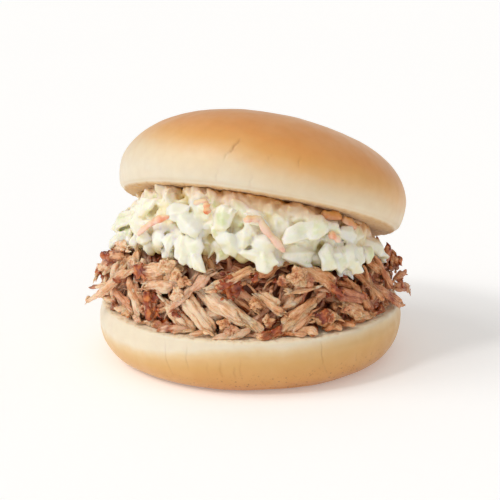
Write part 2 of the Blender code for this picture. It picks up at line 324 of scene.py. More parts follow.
class Paint:
    """A material and short ways to add nodes to it. An input may be a number, a colour or a socket."""

    def __init__(self, name):
        self.material = bpy.data.materials.new(name)
        self.material.use_nodes = True
        self.tree = self.material.node_tree
        self.shader = self.tree.nodes["Principled BSDF"]

    def feed(self, socket, value):
        if isinstance(value, bpy.types.NodeSocket):
            self.tree.links.new(value, socket)
        elif value is not None:
            socket.default_value = value

    def node(self, kind, settings=None, **inputs):
        made = self.tree.nodes.new("ShaderNode" + kind)
        for key, value in (settings or {}).items():
            setattr(made, key, value)
        for key, value in inputs.items():
            self.feed(made.inputs[key.replace("_", " ")], value)
        return made

    def attribute(self, name, output="Fac"):
        return self.node("Attribute", {"attribute_name": name}).outputs[output]

    def place(self):
        return self.node("TexCoord").outputs["Object"]

    def math(self, operation, first, second):
        made = self.node("Math", {"operation": operation})
        self.feed(made.inputs[0], first)
        self.feed(made.inputs[1], second)
        return made.outputs[0]

    def total(self, *terms):
        """The sum of values, each times its weight."""
        result = 0.0
        for value, weight in terms:
            result = self.math("ADD", result, self.math("MULTIPLY", value, weight))
        return result

    def grain(self, where, scale, detail=2.0, rough=0.5):
        made = self.node("TexNoise", None, Vector=where, Scale=scale, Detail=detail, Roughness=rough)
        return made.outputs["Fac"]

    def cells(self, where, scale, feature="F1"):
        return self.node("TexVoronoi", {"feature": feature}, Vector=where, Scale=scale).outputs["Distance"]

    def spread(self, value, low, high, to_low=0.0, to_high=1.0):
        """Maps low..high to to_low..to_high, and clamps."""
        ends = {"From_Min": low, "From_Max": high, "To_Min": to_low, "To_Max": to_high}
        return self.node("MapRange", None, Value=value, **ends).outputs["Result"]

    def blend(self, share, first, second):
        made = self.node("Mix", {"data_type": "RGBA", "clamp_factor": True}, Factor=share)
        self.feed(made.inputs[6], first)
        self.feed(made.inputs[7], second)
        return made.outputs[2]

    def coat(self, colour, *coats):
        """A colour under coats; each coat is its share and its screen colour."""
        for share, *over in coats:
            colour = self.blend(share, colour, srgb(*over))
        return colour

    def ramp(self, value, *stops):
        """Colours along a value; each stop is its place and its screen colour."""
        made = self.node("ValToRGB", None, Fac=value)
        points = made.color_ramp.elements
        while len(points) < len(stops):
            points.new(0.5)
        for point, (where, *colour) in zip(points, stops):
            point.position = where
            point.color = srgb(*colour)
        return made.outputs["Color"]

    def bump(self, height, distance, strength):
        made = self.node("Bump", None, Height=height, Distance=distance, Strength=strength)
        return made.outputs["Normal"]

    def finish(self, colour, roughness, normal=None, flesh=None, **numbers):
        """flesh is how much light goes into the surface, how far, and how far for each colour."""
        self.feed(self.shader.inputs["Base Color"], colour)
        self.feed(self.shader.inputs["Roughness"], roughness)
        self.feed(self.shader.inputs["Normal"], normal)
        if flesh:
            numbers.update(zip(("Subsurface_Weight", "Subsurface_Scale", "Subsurface_Radius"), flesh))
        for key, value in numbers.items():
            self.shader.inputs[key.replace("_", " ")].default_value = value
        return self.material


# --- Bread ---


def superellipse(share, exponent):
    """Sine and cosine of a quarter turn's share, bent to a superellipse."""
    angle = share * math.pi / 2.0
    return math.sin(angle) ** (2.0 / exponent), math.cos(angle) ** (2.0 / exponent)


def rounded_rim(radius, centre_z, start, end):
    """Points over the rounded rim of a cut face; angles in degrees from the outward direction."""
    turns = np.radians(np.linspace(start, end, 8))
    centre = np.array((radius - CUT_ROUNDING, centre_z))
    return list(centre + CUT_ROUNDING * np.stack((np.cos(turns), np.sin(turns)), axis=1))


def heel_outline():
    """From the middle of the cut face, over the rounded rim and the side, to the flat underside."""
    points = [(0.0, HEEL_HEIGHT)]
    points += rounded_rim(HEEL_CUT_RADIUS, HEEL_HEIGHT - CUT_ROUNDING, start=90.0, end=18.0)
    for i in range(200, -1, -1):
        out, down = superellipse(i / 200, HEEL_ROUNDNESS)
        radius = HEEL_FLAT_RADIUS + (HEEL_RADIUS - HEEL_FLAT_RADIUS) * out
        points.append((radius, HEEL_WIDEST_Z * (1.0 - down)))
    return points + [(0.0, 0.0)]


def crown_outline():
    """From the top of the dome, over the side that draws in and the rounded rim, to the cut face, which the
    filling presses a little way up into the soft bread."""
    points = []
    for i in range(300, -1, -1):
        up = superellipse(i / 300, CROWN_TOP_ROUNDNESS)[0]
        out = superellipse(i / 300, CROWN_SIDE_ROUNDNESS)[1]
        points.append((CROWN_RADIUS * out, CROWN_WIDEST_Z + (CROWN_HEIGHT - CROWN_WIDEST_Z) * up))
    for share in np.linspace(0.95, 0.30, 8):
        inset = (CROWN_RADIUS - CROWN_CUT_RADIUS) * (1.0 - share) ** 2
        points.append((CROWN_RADIUS - inset, CROWN_WIDEST_Z * share))
    points += rounded_rim(CROWN_CUT_RADIUS, CROWN_CUT_LIFT + CUT_ROUNDING, start=-12.0, end=-90.0)
    return points + [(0.0, CROWN_CUT_LIFT)]


def resampled(points):
    """The same outline with points a step apart at the side, and wider apart near the axis."""
    points = np.array(points)
    lengths = np.concatenate(([0.0], np.cumsum(np.linalg.norm(np.diff(points, axis=0), axis=1))))
    along = np.linspace(0.0, lengths[-1], 4000)
    radius = np.interp(along, lengths, points[:, 0])
    density = 1.0 / (BUN_STEP * (1.0 + 1.6 * smoothstep(0.044, 0.030, radius)))
    total = np.concatenate(([0.0], np.cumsum((density[1:] + density[:-1]) / 2.0) * along[1]))
    wanted = np.interp(np.linspace(0.0, total[-1], round(total[-1])), total, along)
    return np.stack([np.interp(wanted, lengths, points[:, i]) for i in range(2)], axis=1)


def dense_turns(creases):
    """Angles all round, closer together at the front and closest at the creases."""
    fine = np.linspace(-math.pi, math.pi, 7200)
    density = 1.0 + 0.8 * np.exp(-(((np.degrees(fine) + 90.0) / 60.0) ** 2))
    for start, _top, end, _bottom, _deep, _wide in creases:
        half = 1.2 + abs(start - end) / 2.0
        density += 5.0 * np.exp(-(((np.degrees(fine) - (start + end) / 2.0) / half) ** 2))
    total = np.concatenate(([0.0], np.cumsum(density[1:] + density[:-1])))
    return np.interp(np.linspace(0.0, total[-1], BUN_SEGMENTS, endpoint=False), total, fine)


def turned_skin(outline, turns):
    """Points of an outline turned about Z, and their outward directions."""
    outline = resampled(outline)[1:-1]
    slopes = np.gradient(outline, axis=0)
    facing = unit(np.stack((-slopes[:, 1], slopes[:, 0]), axis=1))
    facing *= np.where((facing[:, :1] * outline[:, :1]).sum() < 0.0, -1.0, 1.0)

    def turned(flat):
        parts = (flat[:, :1] * np.cos(turns), flat[:, :1] * np.sin(turns), flat[:, 1:] + 0.0 * turns)
        return np.stack(parts, axis=2)

    return turned(outline), turned(facing)


def swell(skin, seed):
    """The same uneven rise of the dough as in the construction."""
    moved = (skin * 28.0 + UP * seed).reshape(-1, 3)
    values = [noise.noise(place) for place in moved.tolist()]
    return np.reshape(values, skin.shape[:2]) * BUN_UNEVENNESS


# Fine creases in the skin. Each: degrees round the bun and height of its start and of its end, depth and
# width, all in mm
CROWN_CREASES = (
    (-104.0, 17.8, -106.4, 12.8, 0.34, 0.45), (-106.6, 13.6, -108.4, 10.0, 0.16, 0.4),
    (-104.6, 14.0, -107.4, 12.4, 0.12, 0.4), (-110.0, 6.5, -110.6, 2.5, 0.1, 0.35),
    (-97.0, 6.0, -97.6, 2.5, 0.1, 0.35), (-80.4, 15.5, -80.8, 11.5, 0.12, 0.35),
    (-91.0, 14.5, -92.5, 12.0, 0.09, 0.35),
)
HEEL_CREASES = (
    (-122.2, 18.5, -119.8, 5.0, 0.14, 0.3), (-113.2, 18.0, -112.6, 9.0, 0.14, 0.3),
    (-105.4, 13.0, -105.0, 8.0, 0.08, 0.3), (-100.6, 14.0, -100.0, 7.5, 0.13, 0.45),
    (-95.6, 12.0, -95.2, 7.2, 0.16, 0.45), (-93.6, 15.0, -92.8, 6.0, 0.09, 0.3),
    (-48.5, 12.5, -47.5, 8.5, 0.12, 0.4), (-63.8, 18.5, -63.4, 10.5, 0.2, 0.3),
    (-63.4, 11.0, -59.6, 5.0, 0.13, 0.3),
)


def groove(skin, creases):
    """How deep each point lies in the creases."""
    depth = np.zeros(skin.shape[:2])
    angle, radius = round_axis(skin)
    for start, top, end, bottom, deep, wide in creases:
        share = np.clip((skin[..., 2] - top * MM) / ((bottom - top) * MM), 0.0, 1.0)
        middle = start + (end - start) * share + 0.25 * np.sin(share * 9.0)
        across = np.radians((np.degrees(angle) - middle + 180.0) % 360.0 - 180.0) * radius
        distance = np.hypot(across, skin[..., 2] - (top + (bottom - top) * share) * MM)
        fade = np.sqrt(np.clip(np.sin(share * math.pi), 0.05, 1.0))
        depth += deep * MM * fade * np.exp(-((distance / (wide * MM)) ** 2))
    return depth


def make_bun(name, outline, seed, creases, flat_sign):
    """Half a bun as a fine closed skin, with swelling, dimples, creases and a crumbly cut face, which looks
    up where flat_sign is 1 and down where it is -1."""
    skin, out = turned_skin(outline, dense_turns(creases))
    crumb = smoothstep(0.70, 0.97, flat_sign * out[..., 2])
    crust = 1.0 - crumb
    rise = swell(skin, seed)
    moved = skin + unit(skin * LEVEL) * rise[..., None]
    moved[..., 2] += rise * crust * (np.abs(out[..., 2]) > 0.02) * (skin[..., 2] > 0.002)
    dimples = 0.00022 * noise_at(skin, 75.0, seed) + 0.00010 * noise_at(skin, 210.0, seed + 2.0)
    pits = 0.00030 * noise_at(skin, 520.0, seed + 4.0) + 0.00020 * noise_at(skin, 1100.0, seed + 6.0)
    flat_base = (out[..., 2] < -0.99) & (flat_sign > 0)
    depth = groove(skin, creases)
    relief = dimples * crust + pits * crumb - depth
    moved += out * np.where(flat_base, 0.0, relief)[..., None]
    vertices, faces = closed_skin(moved, [(0.0, 0.0, moved[i, :, 2].mean()) for i in (0, -1)])
    # How deep each point lies in a crease, which sets the creases' painted shade
    crease = np.clip(depth / FULL_CREASE, 0.0, 1.0)
    values = {"crumb": capped(crumb), "crease": capped(crease), "dough": vertices}
    return mesh_object(name, vertices, faces, values)


def bread_material(name, colour_of, face, sheen):
    """Satin crust in colour_of(paint, place), with fine creases darkened as painted shade; face is the cut
    face's screen colour.
    """
    paint = Paint(name)
    place = paint.attribute("dough", "Vector")
    fine = paint.grain(place, 900.0, 3.0, 0.6)
    skin = paint.grain(place, 260.0, 3.0, 0.55)
    soft = paint.grain(place, 90.0)
    crumb = paint.attribute("crumb")
    pores = paint.spread(paint.cells(place, 620.0, "SMOOTH_F1"), 0.0, 0.42, 1.0, 0.0)
    pit = paint.math("MULTIPLY", pores, crumb)
    colour = paint.coat(
        colour_of(paint, place),
        (paint.spread(skin, 0.3, 0.7, 0.0, 0.08), 170, 108, 50),
        (paint.spread(soft, 0.35, 0.7, 0.0, 0.07), 250, 226, 176),
        (crumb, *face),
        (paint.math("MULTIPLY", pit, 0.3), 206, 164, 110),
        # Painted shade: the creases are darker brown, the deeper the darker
        (paint.math("MULTIPLY", paint.attribute("crease"), 0.45), 150, 96, 48),
    )
    relief = paint.total((fine, 0.25), (skin, 0.5), (soft, 0.8), (pit, -3.0))
    normal = paint.bump(relief, distance=0.00020, strength=0.55)
    rough = paint.total((paint.spread(skin, 0.3, 0.7, 0.40, 0.52), 1.0), (crumb, 0.35))
    return paint.finish(colour, rough, normal, flesh=(0.25, 0.003, (1.0, 0.7, 0.45)),
                        Specular_IOR_Level=0.45, Sheen_Weight=sheen, Sheen_Roughness=0.35,
                        Sheen_Tint=(1.0, 0.93, 0.82, 1.0))


def browning_and_side_light(paint, place, left, right, drift):
    """Height on the bun as the browning follows it, uneven; shifted on its left and right side as painted
    light, paler on the lit left and browner in shade on the right.
    """
    axes = paint.node("SeparateXYZ", None, Vector=place).outputs
    return paint.total(
        (axes["Z"], 1.0),
        # Painted light and shade: paler on the lit left, browner on the shaded right
        (paint.spread(axes["X"], -0.045, -0.004, left, 0.0), 1.0),
        (paint.spread(axes["X"], -0.004, 0.040, 0.0, right), 1.0),
        (paint.spread(paint.grain(place, 24.0, 1.0), 0.2, 0.8, -1.0, 1.0), drift),
        (paint.spread(paint.grain(place, 150.0), 0.2, 0.8, -1.0, 1.0), 0.0006),
    )


def crown_colour(paint, place):
    """Golden brown over the dome, cream round the lower side, with a soft uneven border, paler on the left
    as painted light.
    """
    # left and right are painted light: paler on the lit left, a little browner on the right
    level = browning_and_side_light(paint, place, left=-0.0066, right=0.0005, drift=0.0024)
    return paint.ramp(
        paint.spread(level, 0.0, CROWN_HEIGHT),
        (0.00, 233, 221, 197),
        (0.08, 235, 219, 190),
        (0.19, 235, 211, 174),
        (0.32, 234, 188, 131),
        (0.43, 232, 171, 99),
        (0.56, 230, 157, 82),
        (0.74, 226, 151, 77),
    )


def heel_colour(paint, place):
    """Golden from the base up, a soft border to the cream band under the cut edge, and dark pores; paler on
    the lit left and browner on the right, as painted light and shade.
    """
    # left and right are painted light: paler on the lit left, browner in shade on the right
    level = browning_and_side_light(paint, place, left=0.0060, right=-0.0020, drift=0.0011)
    colour = paint.ramp(
        paint.spread(level, 0.0, HEEL_HEIGHT),
        (0.08, 200, 139, 76),
        (0.28, 210, 155, 87),
        (0.45, 216, 164, 97),
        (0.60, 219, 172, 105),
        (0.74, 225, 186, 129),
        (0.83, 231, 203, 157),
        (0.93, 236, 224, 200),
    )
    dots = paint.spread(paint.cells(place, 520.0), 0.10, 0.24, 1.0, 0.0)
    specks = paint.spread(paint.cells(place, 940.0), 0.10, 0.26, 0.8, 0.0)
    low = paint.spread(level, 0.0030, 0.0100, 0.80, 0.0)
    specks, dots = paint.math("MULTIPLY", specks, low), paint.math("MULTIPLY", dots, low)
    return paint.coat(colour, (specks, 150, 92, 40), (dots, 120, 66, 26))


def make_crown():
    """The crown is made upright and then turned; its browning follows where it was as dough."""
    crown = make_bun("crown_crust", crown_outline(), CROWN_SEED, CROWN_CREASES, flat_sign=-1.0)
    crown.data.transform(Matrix.Translation(CROWN_CENTRE) @ CROWN_TURN.to_matrix().to_4x4())
    # Painted shade: the crown's cut face, which looks down, is a darker tan than the heel's
    crust = bread_material("crown_bread", crown_colour, face=(228, 184, 126), sheen=0.45)
    dress(crown, crust, "crown_crust", "bun_crown")


def make_heel():
    heel = make_bun("heel_crust", heel_outline(), HEEL_SEED, HEEL_CREASES, flat_sign=1.0)
    crust = bread_material("heel_bread", heel_colour, face=(250, 232, 200), sheen=0.25)
    dress(heel, crust, "heel_crust", "bun_heel")


# --- The heaps' shapes, as in the construction ---


def crown_face_z(x, y):
    """Height of the crown's cut face over (x, y)."""
    normal = CROWN_TURN.to_matrix() @ Vector((0.0, 0.0, 1.0))
    slope = normal.x * (x - CROWN_CENTRE.x) + normal.y * (y - CROWN_CENTRE.y)
    return CROWN_CENTRE.z - slope / normal.z


def dough_face_z(x, y):
    """Height of the crown's cut face as dressed, where the filling presses it up."""
    return crown_face_z(x, y) + CROWN_CUT_LIFT


def heel_top_z(_x, _y):
    return HEEL_HEIGHT


def pork_top_z(x, y):
    """Height at which the pork ends and the slaw starts."""
    radius = np.hypot(x, y)
    inner = np.minimum(1.0, SHOULDER_END / np.maximum(radius, 0.001))
    level = HEEL_HEIGHT + PORK_SHARE * (crown_face_z(x * inner, y * inner) - HEEL_HEIGHT)
    hang = 0.65 + 0.35 * np.cos(8.0 * np.arctan2(y, x))
    drop = SHOULDER_DROP * hang * smoothstep(SHOULDER_START, SHOULDER_END, radius)
    right = np.maximum(0.0, x / np.maximum(radius, 0.001)) ** 14
    rise = RIGHT_RISE * right * smoothstep(0.0435, 0.0500, radius)
    return np.maximum(HEEL_HEIGHT + 0.006, level - drop * (1.0 - right)) + rise


def pork_reach(angle, share):
    wide = PORK_RADIUS + PORK_SIDE_REACH * np.cos(2.0 * angle)
    return wide * (1.0 - 0.16 * (share - 0.35) ** 2)


def slaw_reach(angle, share):
    wide = SLAW_RADIUS + SLAW_SIDE_REACH * np.cos(2.0 * angle)
    return wide * (1.0 - SLAW_DRAW_IN * share ** 1.25)


# --- Places on the heaps ---


def press(vertices):
    """Keeps the filling between the two cut faces, as the bread presses on it."""
    on_heel = round_axis(vertices)[1] < HEEL_CUT_RADIUS - 0.0005
    local = (vertices - np.array(CROWN_CENTRE)) @ np.array(CROWN_TURN.to_matrix())
    under_crown = round_axis(local)[1] < CROWN_CUT_RADIUS + 0.002
    low = np.where(on_heel, HEEL_HEIGHT + 0.00015, -1.0)
    high = np.where(under_crown, dough_face_z(vertices[:, 0], vertices[:, 1]), 1.0)
    pressed = vertices.copy()
    pressed[:, 2] = np.maximum(low, np.minimum(high, vertices[:, 2]))
    return pressed


def on_side(angle, radius, height):
    """Place on the side of a heap, its outward direction and the direction round it."""
    outward = np.array((math.cos(angle), math.sin(angle), 0.0))
    round_it = np.array((-math.sin(angle), math.cos(angle), 0.0))
    return outward * radius + UP * height, outward, round_it


def span(row, reach_at):
    """Middle and line of a piece in a table. Its row starts with degrees and height of one end and of the
    other, and how far out each is, in mm; reach_at(angle, height) is the heap's own reach there."""
    ends = []
    for degrees, height, out in ((row[0], row[1], row[4]), (row[2], row[3], row[5])):
        angle = math.radians(degrees)
        ends.append(on_side(angle, reach_at(angle, height * MM) + out * MM, height * MM)[0])
    return (ends[0] + ends[1]) / 2.0, ends[1] - ends[0]


def band(angle, reach_of, low_of, high_of):
    """Lowest and highest place on a heap's side at an angle."""
    reach = reach_of(angle, 0.5)
    x, y = reach * math.cos(angle), reach * math.sin(angle)
    return float(low_of(x, y)), float(high_of(x, y))


def spread_round(count, seed, heap, rows):
    """Evenly scattered (angle, share of the height) all round a heap, denser where it is taller."""
    draw = random.Random(seed)
    turns = np.linspace(0.0, 2.0 * math.pi, 361)
    tall = np.array([np.ptp(band(turn, *heap)) for turn in turns]) + 0.004
    total = np.concatenate(([0.0], np.cumsum((tall[1:] + tall[:-1]) / 2.0)))
    for i in range(count):
        lot = ((i + draw.uniform(-0.5, 0.5)) * GOLDEN_STEP) % 1.0
        angle = float(np.interp(lot * total[-1], total, turns))
        share = ((i * rows + draw.uniform(0.0, 0.6)) / count) % 1.0
        yield draw, angle, share


def heap_core(heap, inset, relief, seed, top):
    """A closed lumpy mound under the loose pieces, inset from the heap's outline and by top from its upper
    face: its vertices and faces."""
    reach_of, low_of, high_of = heap
    turns = full_turn(int(2.0 * math.pi * PORK_RADIUS / MM))

    def floor_z(x, y):
        return low_of(x, y) + CORE_LIFT

    def roof_z(x, y):
        return high_of(x, y) - top

    def ring(share):
        reach = reach_of(turns, share) - inset
        x, y = reach * np.cos(turns), reach * np.sin(turns)
        return np.stack((x, y, floor_z(x, y) + (roof_z(x, y) - floor_z(x, y)) * share), axis=1)

    def cap(rim, level):
        centre = UP * float(level(0.0, 0.0))
        rings = [centre + (rim - centre) * share for share in (0.35, 0.7)]
        for points in rings:
            points[:, 2] = level(points[:, 0], points[:, 1])
        return centre, np.stack(rings)

    skin = np.stack([ring(share) for share in np.linspace(0.0, 1.0, CORE_ROWS)])
    lumps = relief * (noise_at(skin, 260.0, seed) + 0.5 * noise_at(skin, 600.0, seed))
    skin[1:-1] += (unit(skin * LEVEL) * lumps[..., None])[1:-1]
    bottom, lower = cap(skin[0], floor_z)
    peak, upper = cap(skin[-1], roof_z)
    return closed_skin(np.concatenate((lower, skin, upper[::-1]))[::-1], (peak, bottom))


# --- Pork ---

PORK_HEAP = (pork_reach, heel_top_z, pork_top_z)

# Width of a shred at five places along it
STRIP_SHAPES = (
    (0.70, 0.95, 1.00, 0.95, 0.80),
    (0.50, 0.75, 0.95, 1.00, 0.90),
    (0.35, 0.65, 0.85, 1.00, 0.95),
    (0.60, 0.90, 1.00, 0.80, 0.50),
    (0.85, 1.00, 0.90, 0.95, 0.75),
)
FRAY_SHAPE = (0.9, 1.0, 0.85, 0.60, 0.25)

# Smallest and largest length, width and flatness of a frayed fibre
FRAY_SIZES = ((0.0026, 0.0046), (0.0006, 0.0013), (0.6, 0.9))

# For a number of bundles of fibres in a shred: how far each is from its middle, and how thick
BUNDLES = {2: (0.42, 0.62), 3: (0.50, 0.56), 4: (0.56, 0.50), 5: (0.62, 0.44)}


def strand_layout(draw, count):
    """Places and radii of the bundles of fibres across one shred, in a circle of radius 1."""
    if count == 1:
        return [(0.0, 0.0, 1.0)]
    away, thick = BUNDLES[count]
    start = draw.uniform(0.0, 2.0 * math.pi)
    layout = []
    for k in range(count):
        turn = start + 2.0 * math.pi * (k + draw.uniform(-0.2, 0.2)) / count
        reach = away * draw.uniform(0.85, 1.15)
        layout.append((reach * math.cos(turn), reach * math.sin(turn), thick * draw.uniform(0.80, 1.20)))
    return layout


def strand_ends(draw, count, ragged):
    """Where each bundle starts and ends along the shred, from -1 to 1; one of them reaches each end."""
    ends = [[-1.0 + ragged * draw.random(), 1.0 - ragged * draw.random()] for _k in range(count)]
    ends[0][0] = -1.0
    ends[-1][1] = 1.0
    return ends


def bundle_outline(draw, turns, rows, count, ragged, splay, soft_end):
    """Reach of the shred's skin from its middle line, in half widths, all round it and along it."""

    def wave(slow, fast):
        return np.sin(rows * draw.uniform(slow, fast) + draw.uniform(0.0, 6.0))

    def rising(distance):
        return np.clip(distance / soft_end, 0.0, 1.0)

    total = np.zeros(np.broadcast_shapes(turns.shape, rows.shape))
    spread = 1.0 + splay * np.clip(np.abs(rows) - 0.5, 0.0, 1.0)
    ends = strand_ends(draw, count, ragged)
    for (x, y, thick), (begin, finish) in zip(strand_layout(draw, count), ends):
        x = x * spread + 0.10 * wave(1.5, 4.0)
        y = y * spread + 0.10 * wave(1.5, 4.0)
        taper = np.sqrt(rising(rows - begin) * rising(finish - rows))
        radius = thick * taper * (1.0 + 0.12 * wave(4.0, 9.0))
        forward = x * np.cos(turns) + y * np.sin(turns)
        aside = x * np.sin(turns) - y * np.cos(turns)
        far = forward + np.sqrt(np.clip(radius ** 2 - aside ** 2, 0.0, None))
        total += np.where(radius > np.abs(aside), np.clip(far, 0.0, None), 0.0) ** SKIN_SHARPNESS
    return np.maximum(total ** (1.0 / SKIN_SHARPNESS), 0.10)


def bent_spine(draw, middle, along, normal, length, sag, bow):
    """The middle line of a shred, from -1 to 1: its ends sink along the normal, and it sways aside."""
    side = unit(np.cross(along, normal))
    bow = bow * length * draw.uniform(-1.0, 1.0)
    wobble = 0.03 * length * draw.uniform(-1.0, 1.0)

    def place(t):
        sway = bow * (t * t - 0.3) + wobble * np.sin(3.0 * t)
        sink = -sag * length * t * t
        straight = middle + along * (t * length / 2.0)[..., None]
        return straight + normal * sink[..., None] + side * sway[..., None]

    return place


def torn_strip(draw, batch, middle, along, normal, length, width, flatness, shape, rings, sides, strands,
               ragged=0.5, splay=0.3, sag=0.08, bow=0.06, twist=0.5, rough=1.0, blunt=1.0, **looks):
    """One shred: bundles of fibres side by side, bent, twisted and torn off unevenly. shape gives its width
    at five places along it; the ends are rounder as blunt nears 0."""
    normal = np.cross(unit(np.cross(along, normal)), along)
    turns = full_turn(sides)
    rows = np.linspace(-1.0, 1.0, rings)[:, None]
    soft_end = min(0.5, 0.9 * width / length) * blunt
    wide = np.interp(rows, np.linspace(-1.0, 1.0, len(shape)), shape)
    outline = bundle_outline(draw, turns, rows, strands, ragged, splay, soft_end) * wide
    near = (np.roll(outline, 1, axis=1) + np.roll(outline, -1, axis=1)) / 2.0
    hollow = np.clip((near / outline - 1.0) * 6.0, 0.0, 1.0)
    a = np.cos(turns) * outline * width / 2.0
    b = np.sin(turns) * outline * width * flatness / 2.0
    own = noise_shift(draw)
    grain = np.stack((a / MM, b / MM, 0.5 * rows * length / MM + 0.0 * a), axis=2)
    coarse = noise_at(grain * np.array((0.9, 0.9, 0.35)) + own, 1.0)
    fine = noise_at(grain * np.array((1.8, 1.8, draw.choice((0.25, 0.4, 0.8)))) + own, 1.0)
    relief = rough * (FIBRE_RELIEF * coarse + THREAD_RELIEF * fine) * np.clip(width / 0.0040, 0.25, 1.2)
    grow = np.clip(1.0 + relief / np.maximum(np.hypot(a, b), 0.0003), 0.55, 1.5)
    a, b = a * grow, b * grow
    turn = twist * draw.uniform(-1.0, 1.0) * rows
    a, b = a * np.cos(turn) - b * np.sin(turn), a * np.sin(turn) + b * np.cos(turn)
    spine = bent_spine(draw, middle, along, normal, length, sag, bow)
    ahead = unit(spine(rows + 0.01) - spine(rows - 0.01))
    across = unit(np.cross(ahead, normal))
    skin = spine(rows) + across * a[..., None] + np.cross(across, ahead) * b[..., None]
    hollow = np.clip(capped(np.maximum(hollow, -0.4 * coarse), (0.8, 0.8)), 0.0, 1.0)
    batch.add_tube(skin, grain=capped(grain * np.array((1.0, 1.0, 0.14))) + own, hollow=hollow, **looks)


def crumbly_bit(draw, batch, middle, normal, size, rings, sides, lumps=1.0, flat=0.75, **looks):
    """A granular clump of torn meat: a flattened ball with lumps of under a millimetre."""
    side = unit(np.cross(normal, UP + 0.01))
    across = np.cross(normal, side)
    turns = full_turn(sides)
    tilt = np.linspace(-1.0, 1.0, rings + 2)[1:-1, None] * math.pi / 2.0
    parts = (np.cos(tilt) * np.cos(turns), np.cos(tilt) * np.sin(turns), np.sin(tilt) + 0.0 * turns)
    own = noise_shift(draw)
    stretch = np.array((draw.uniform(0.8, 1.3), draw.uniform(0.7, 1.1), flat * draw.uniform(0.8, 1.2)))
    ball = np.stack(parts, axis=2) * stretch
    grain = ball * size / MM
    coarse, fine = lumps * noise_at(grain * 0.62 + own, 1.0), lumps * noise_at(grain * 1.6 + own, 1.0)
    ball = ball * (1.0 + 0.60 * coarse + 0.36 * fine)[..., None] * size
    skin = middle + side * ball[..., :1] + across * ball[..., 1:2] + normal * ball[..., 2:]
    hollow = capped(np.clip(0.25 - 1.1 * coarse - 0.9 * fine, 0.0, 1.0), (0.3, 0.3))
    batch.add_tube(skin, grain=capped(grain) + own, hollow=hollow, **looks)


def pork_place(angle, share, depth):
    """Place, outward direction and direction round, on the pork's side or its sloping shoulder."""
    reach = float(pork_reach(angle, share))
    low, high = band(angle, *PORK_HEAP)
    height = low + FOOT_LIFT + (high - low - FOOT_LIFT) * share
    shoulder = 0.0045 * max(0.0, share - 0.72) ** 2 / 0.08
    flank = 0.0018 * math.cos(angle) ** 4 * share
    place, outward, round_it = on_side(angle, reach - shoulder - flank - depth, height)
    return place, lean(outward, UP, SHOULDER_LEAN * float(smoothstep(0.70, 1.05, share))), round_it


def lay_pork(batch, count, seed, rows, lengths, widths, depths, flatness, rings, sides, strands, steep,
             lift, bow=0.06):
    """Shreds scattered all over the pork's side, a little deeper at the front, where others lie on them.
    steep is how far they lean out of the level, in degrees."""
    for draw, angle, share in spread_round(count, seed, PORK_HEAP, rows):
        front = 0.0014 * max(0.0, -math.sin(angle))
        place, normal, round_it = pork_place(angle, share, draw.uniform(*depths) + front)
        climb = unit(np.cross(normal, round_it))
        along = lean(round_it, climb, draw.choice((-1.0, 1.0)) * draw.uniform(*steep))
        along = unit(along + normal * draw.uniform(-lift, lift))
        if draw.random() < 0.5:
            along = -along
        length, width = draw.uniform(*lengths), draw.uniform(*widths)
        torn_strip(draw, batch, place, along, normal, length, width, draw.uniform(*flatness),
                   draw.choice(STRIP_SHAPES), rings, sides, strands=draw.choice(strands),
                   ragged=draw.uniform(0.3, 0.8), splay=draw.uniform(0.0, 0.5),
                   sag=draw.uniform(0.02, 0.12), bow=bow, tone=draw.random(), pink=draw.random())


def lay_foot(batch, count):
    """Shreds that lie on the heel round the foot of the heap, nearly out to its rim."""
    draw = random.Random(SEEDS["foot"])
    for i in range(count):
        angle = 2.0 * math.pi * (i + draw.uniform(0.0, 0.8)) / count
        out = draw.uniform(-0.0005, 0.0018) + 0.0012 * max(0.0, -math.cos(angle))
        height = HEEL_HEIGHT + draw.uniform(0.0010, 0.0024)
        place, outward, round_it = on_side(angle, PORK_RADIUS + out, height)
        along = unit(lean(round_it, outward, draw.gauss(0.0, 38.0)) + UP * draw.uniform(-0.1, 0.35))
        width = draw.uniform(0.0018, 0.0040)
        length, flatness = draw.uniform(0.005, 0.010), draw.uniform(0.5, 0.8)
        torn_strip(draw, batch, place, along, unit(outward + UP), length, width, flatness,
                   draw.choice(STRIP_SHAPES), rings=16, sides=16, strands=draw.choice((1, 2, 3)),
                   ragged=0.6, tone=draw.random(), pink=draw.random())


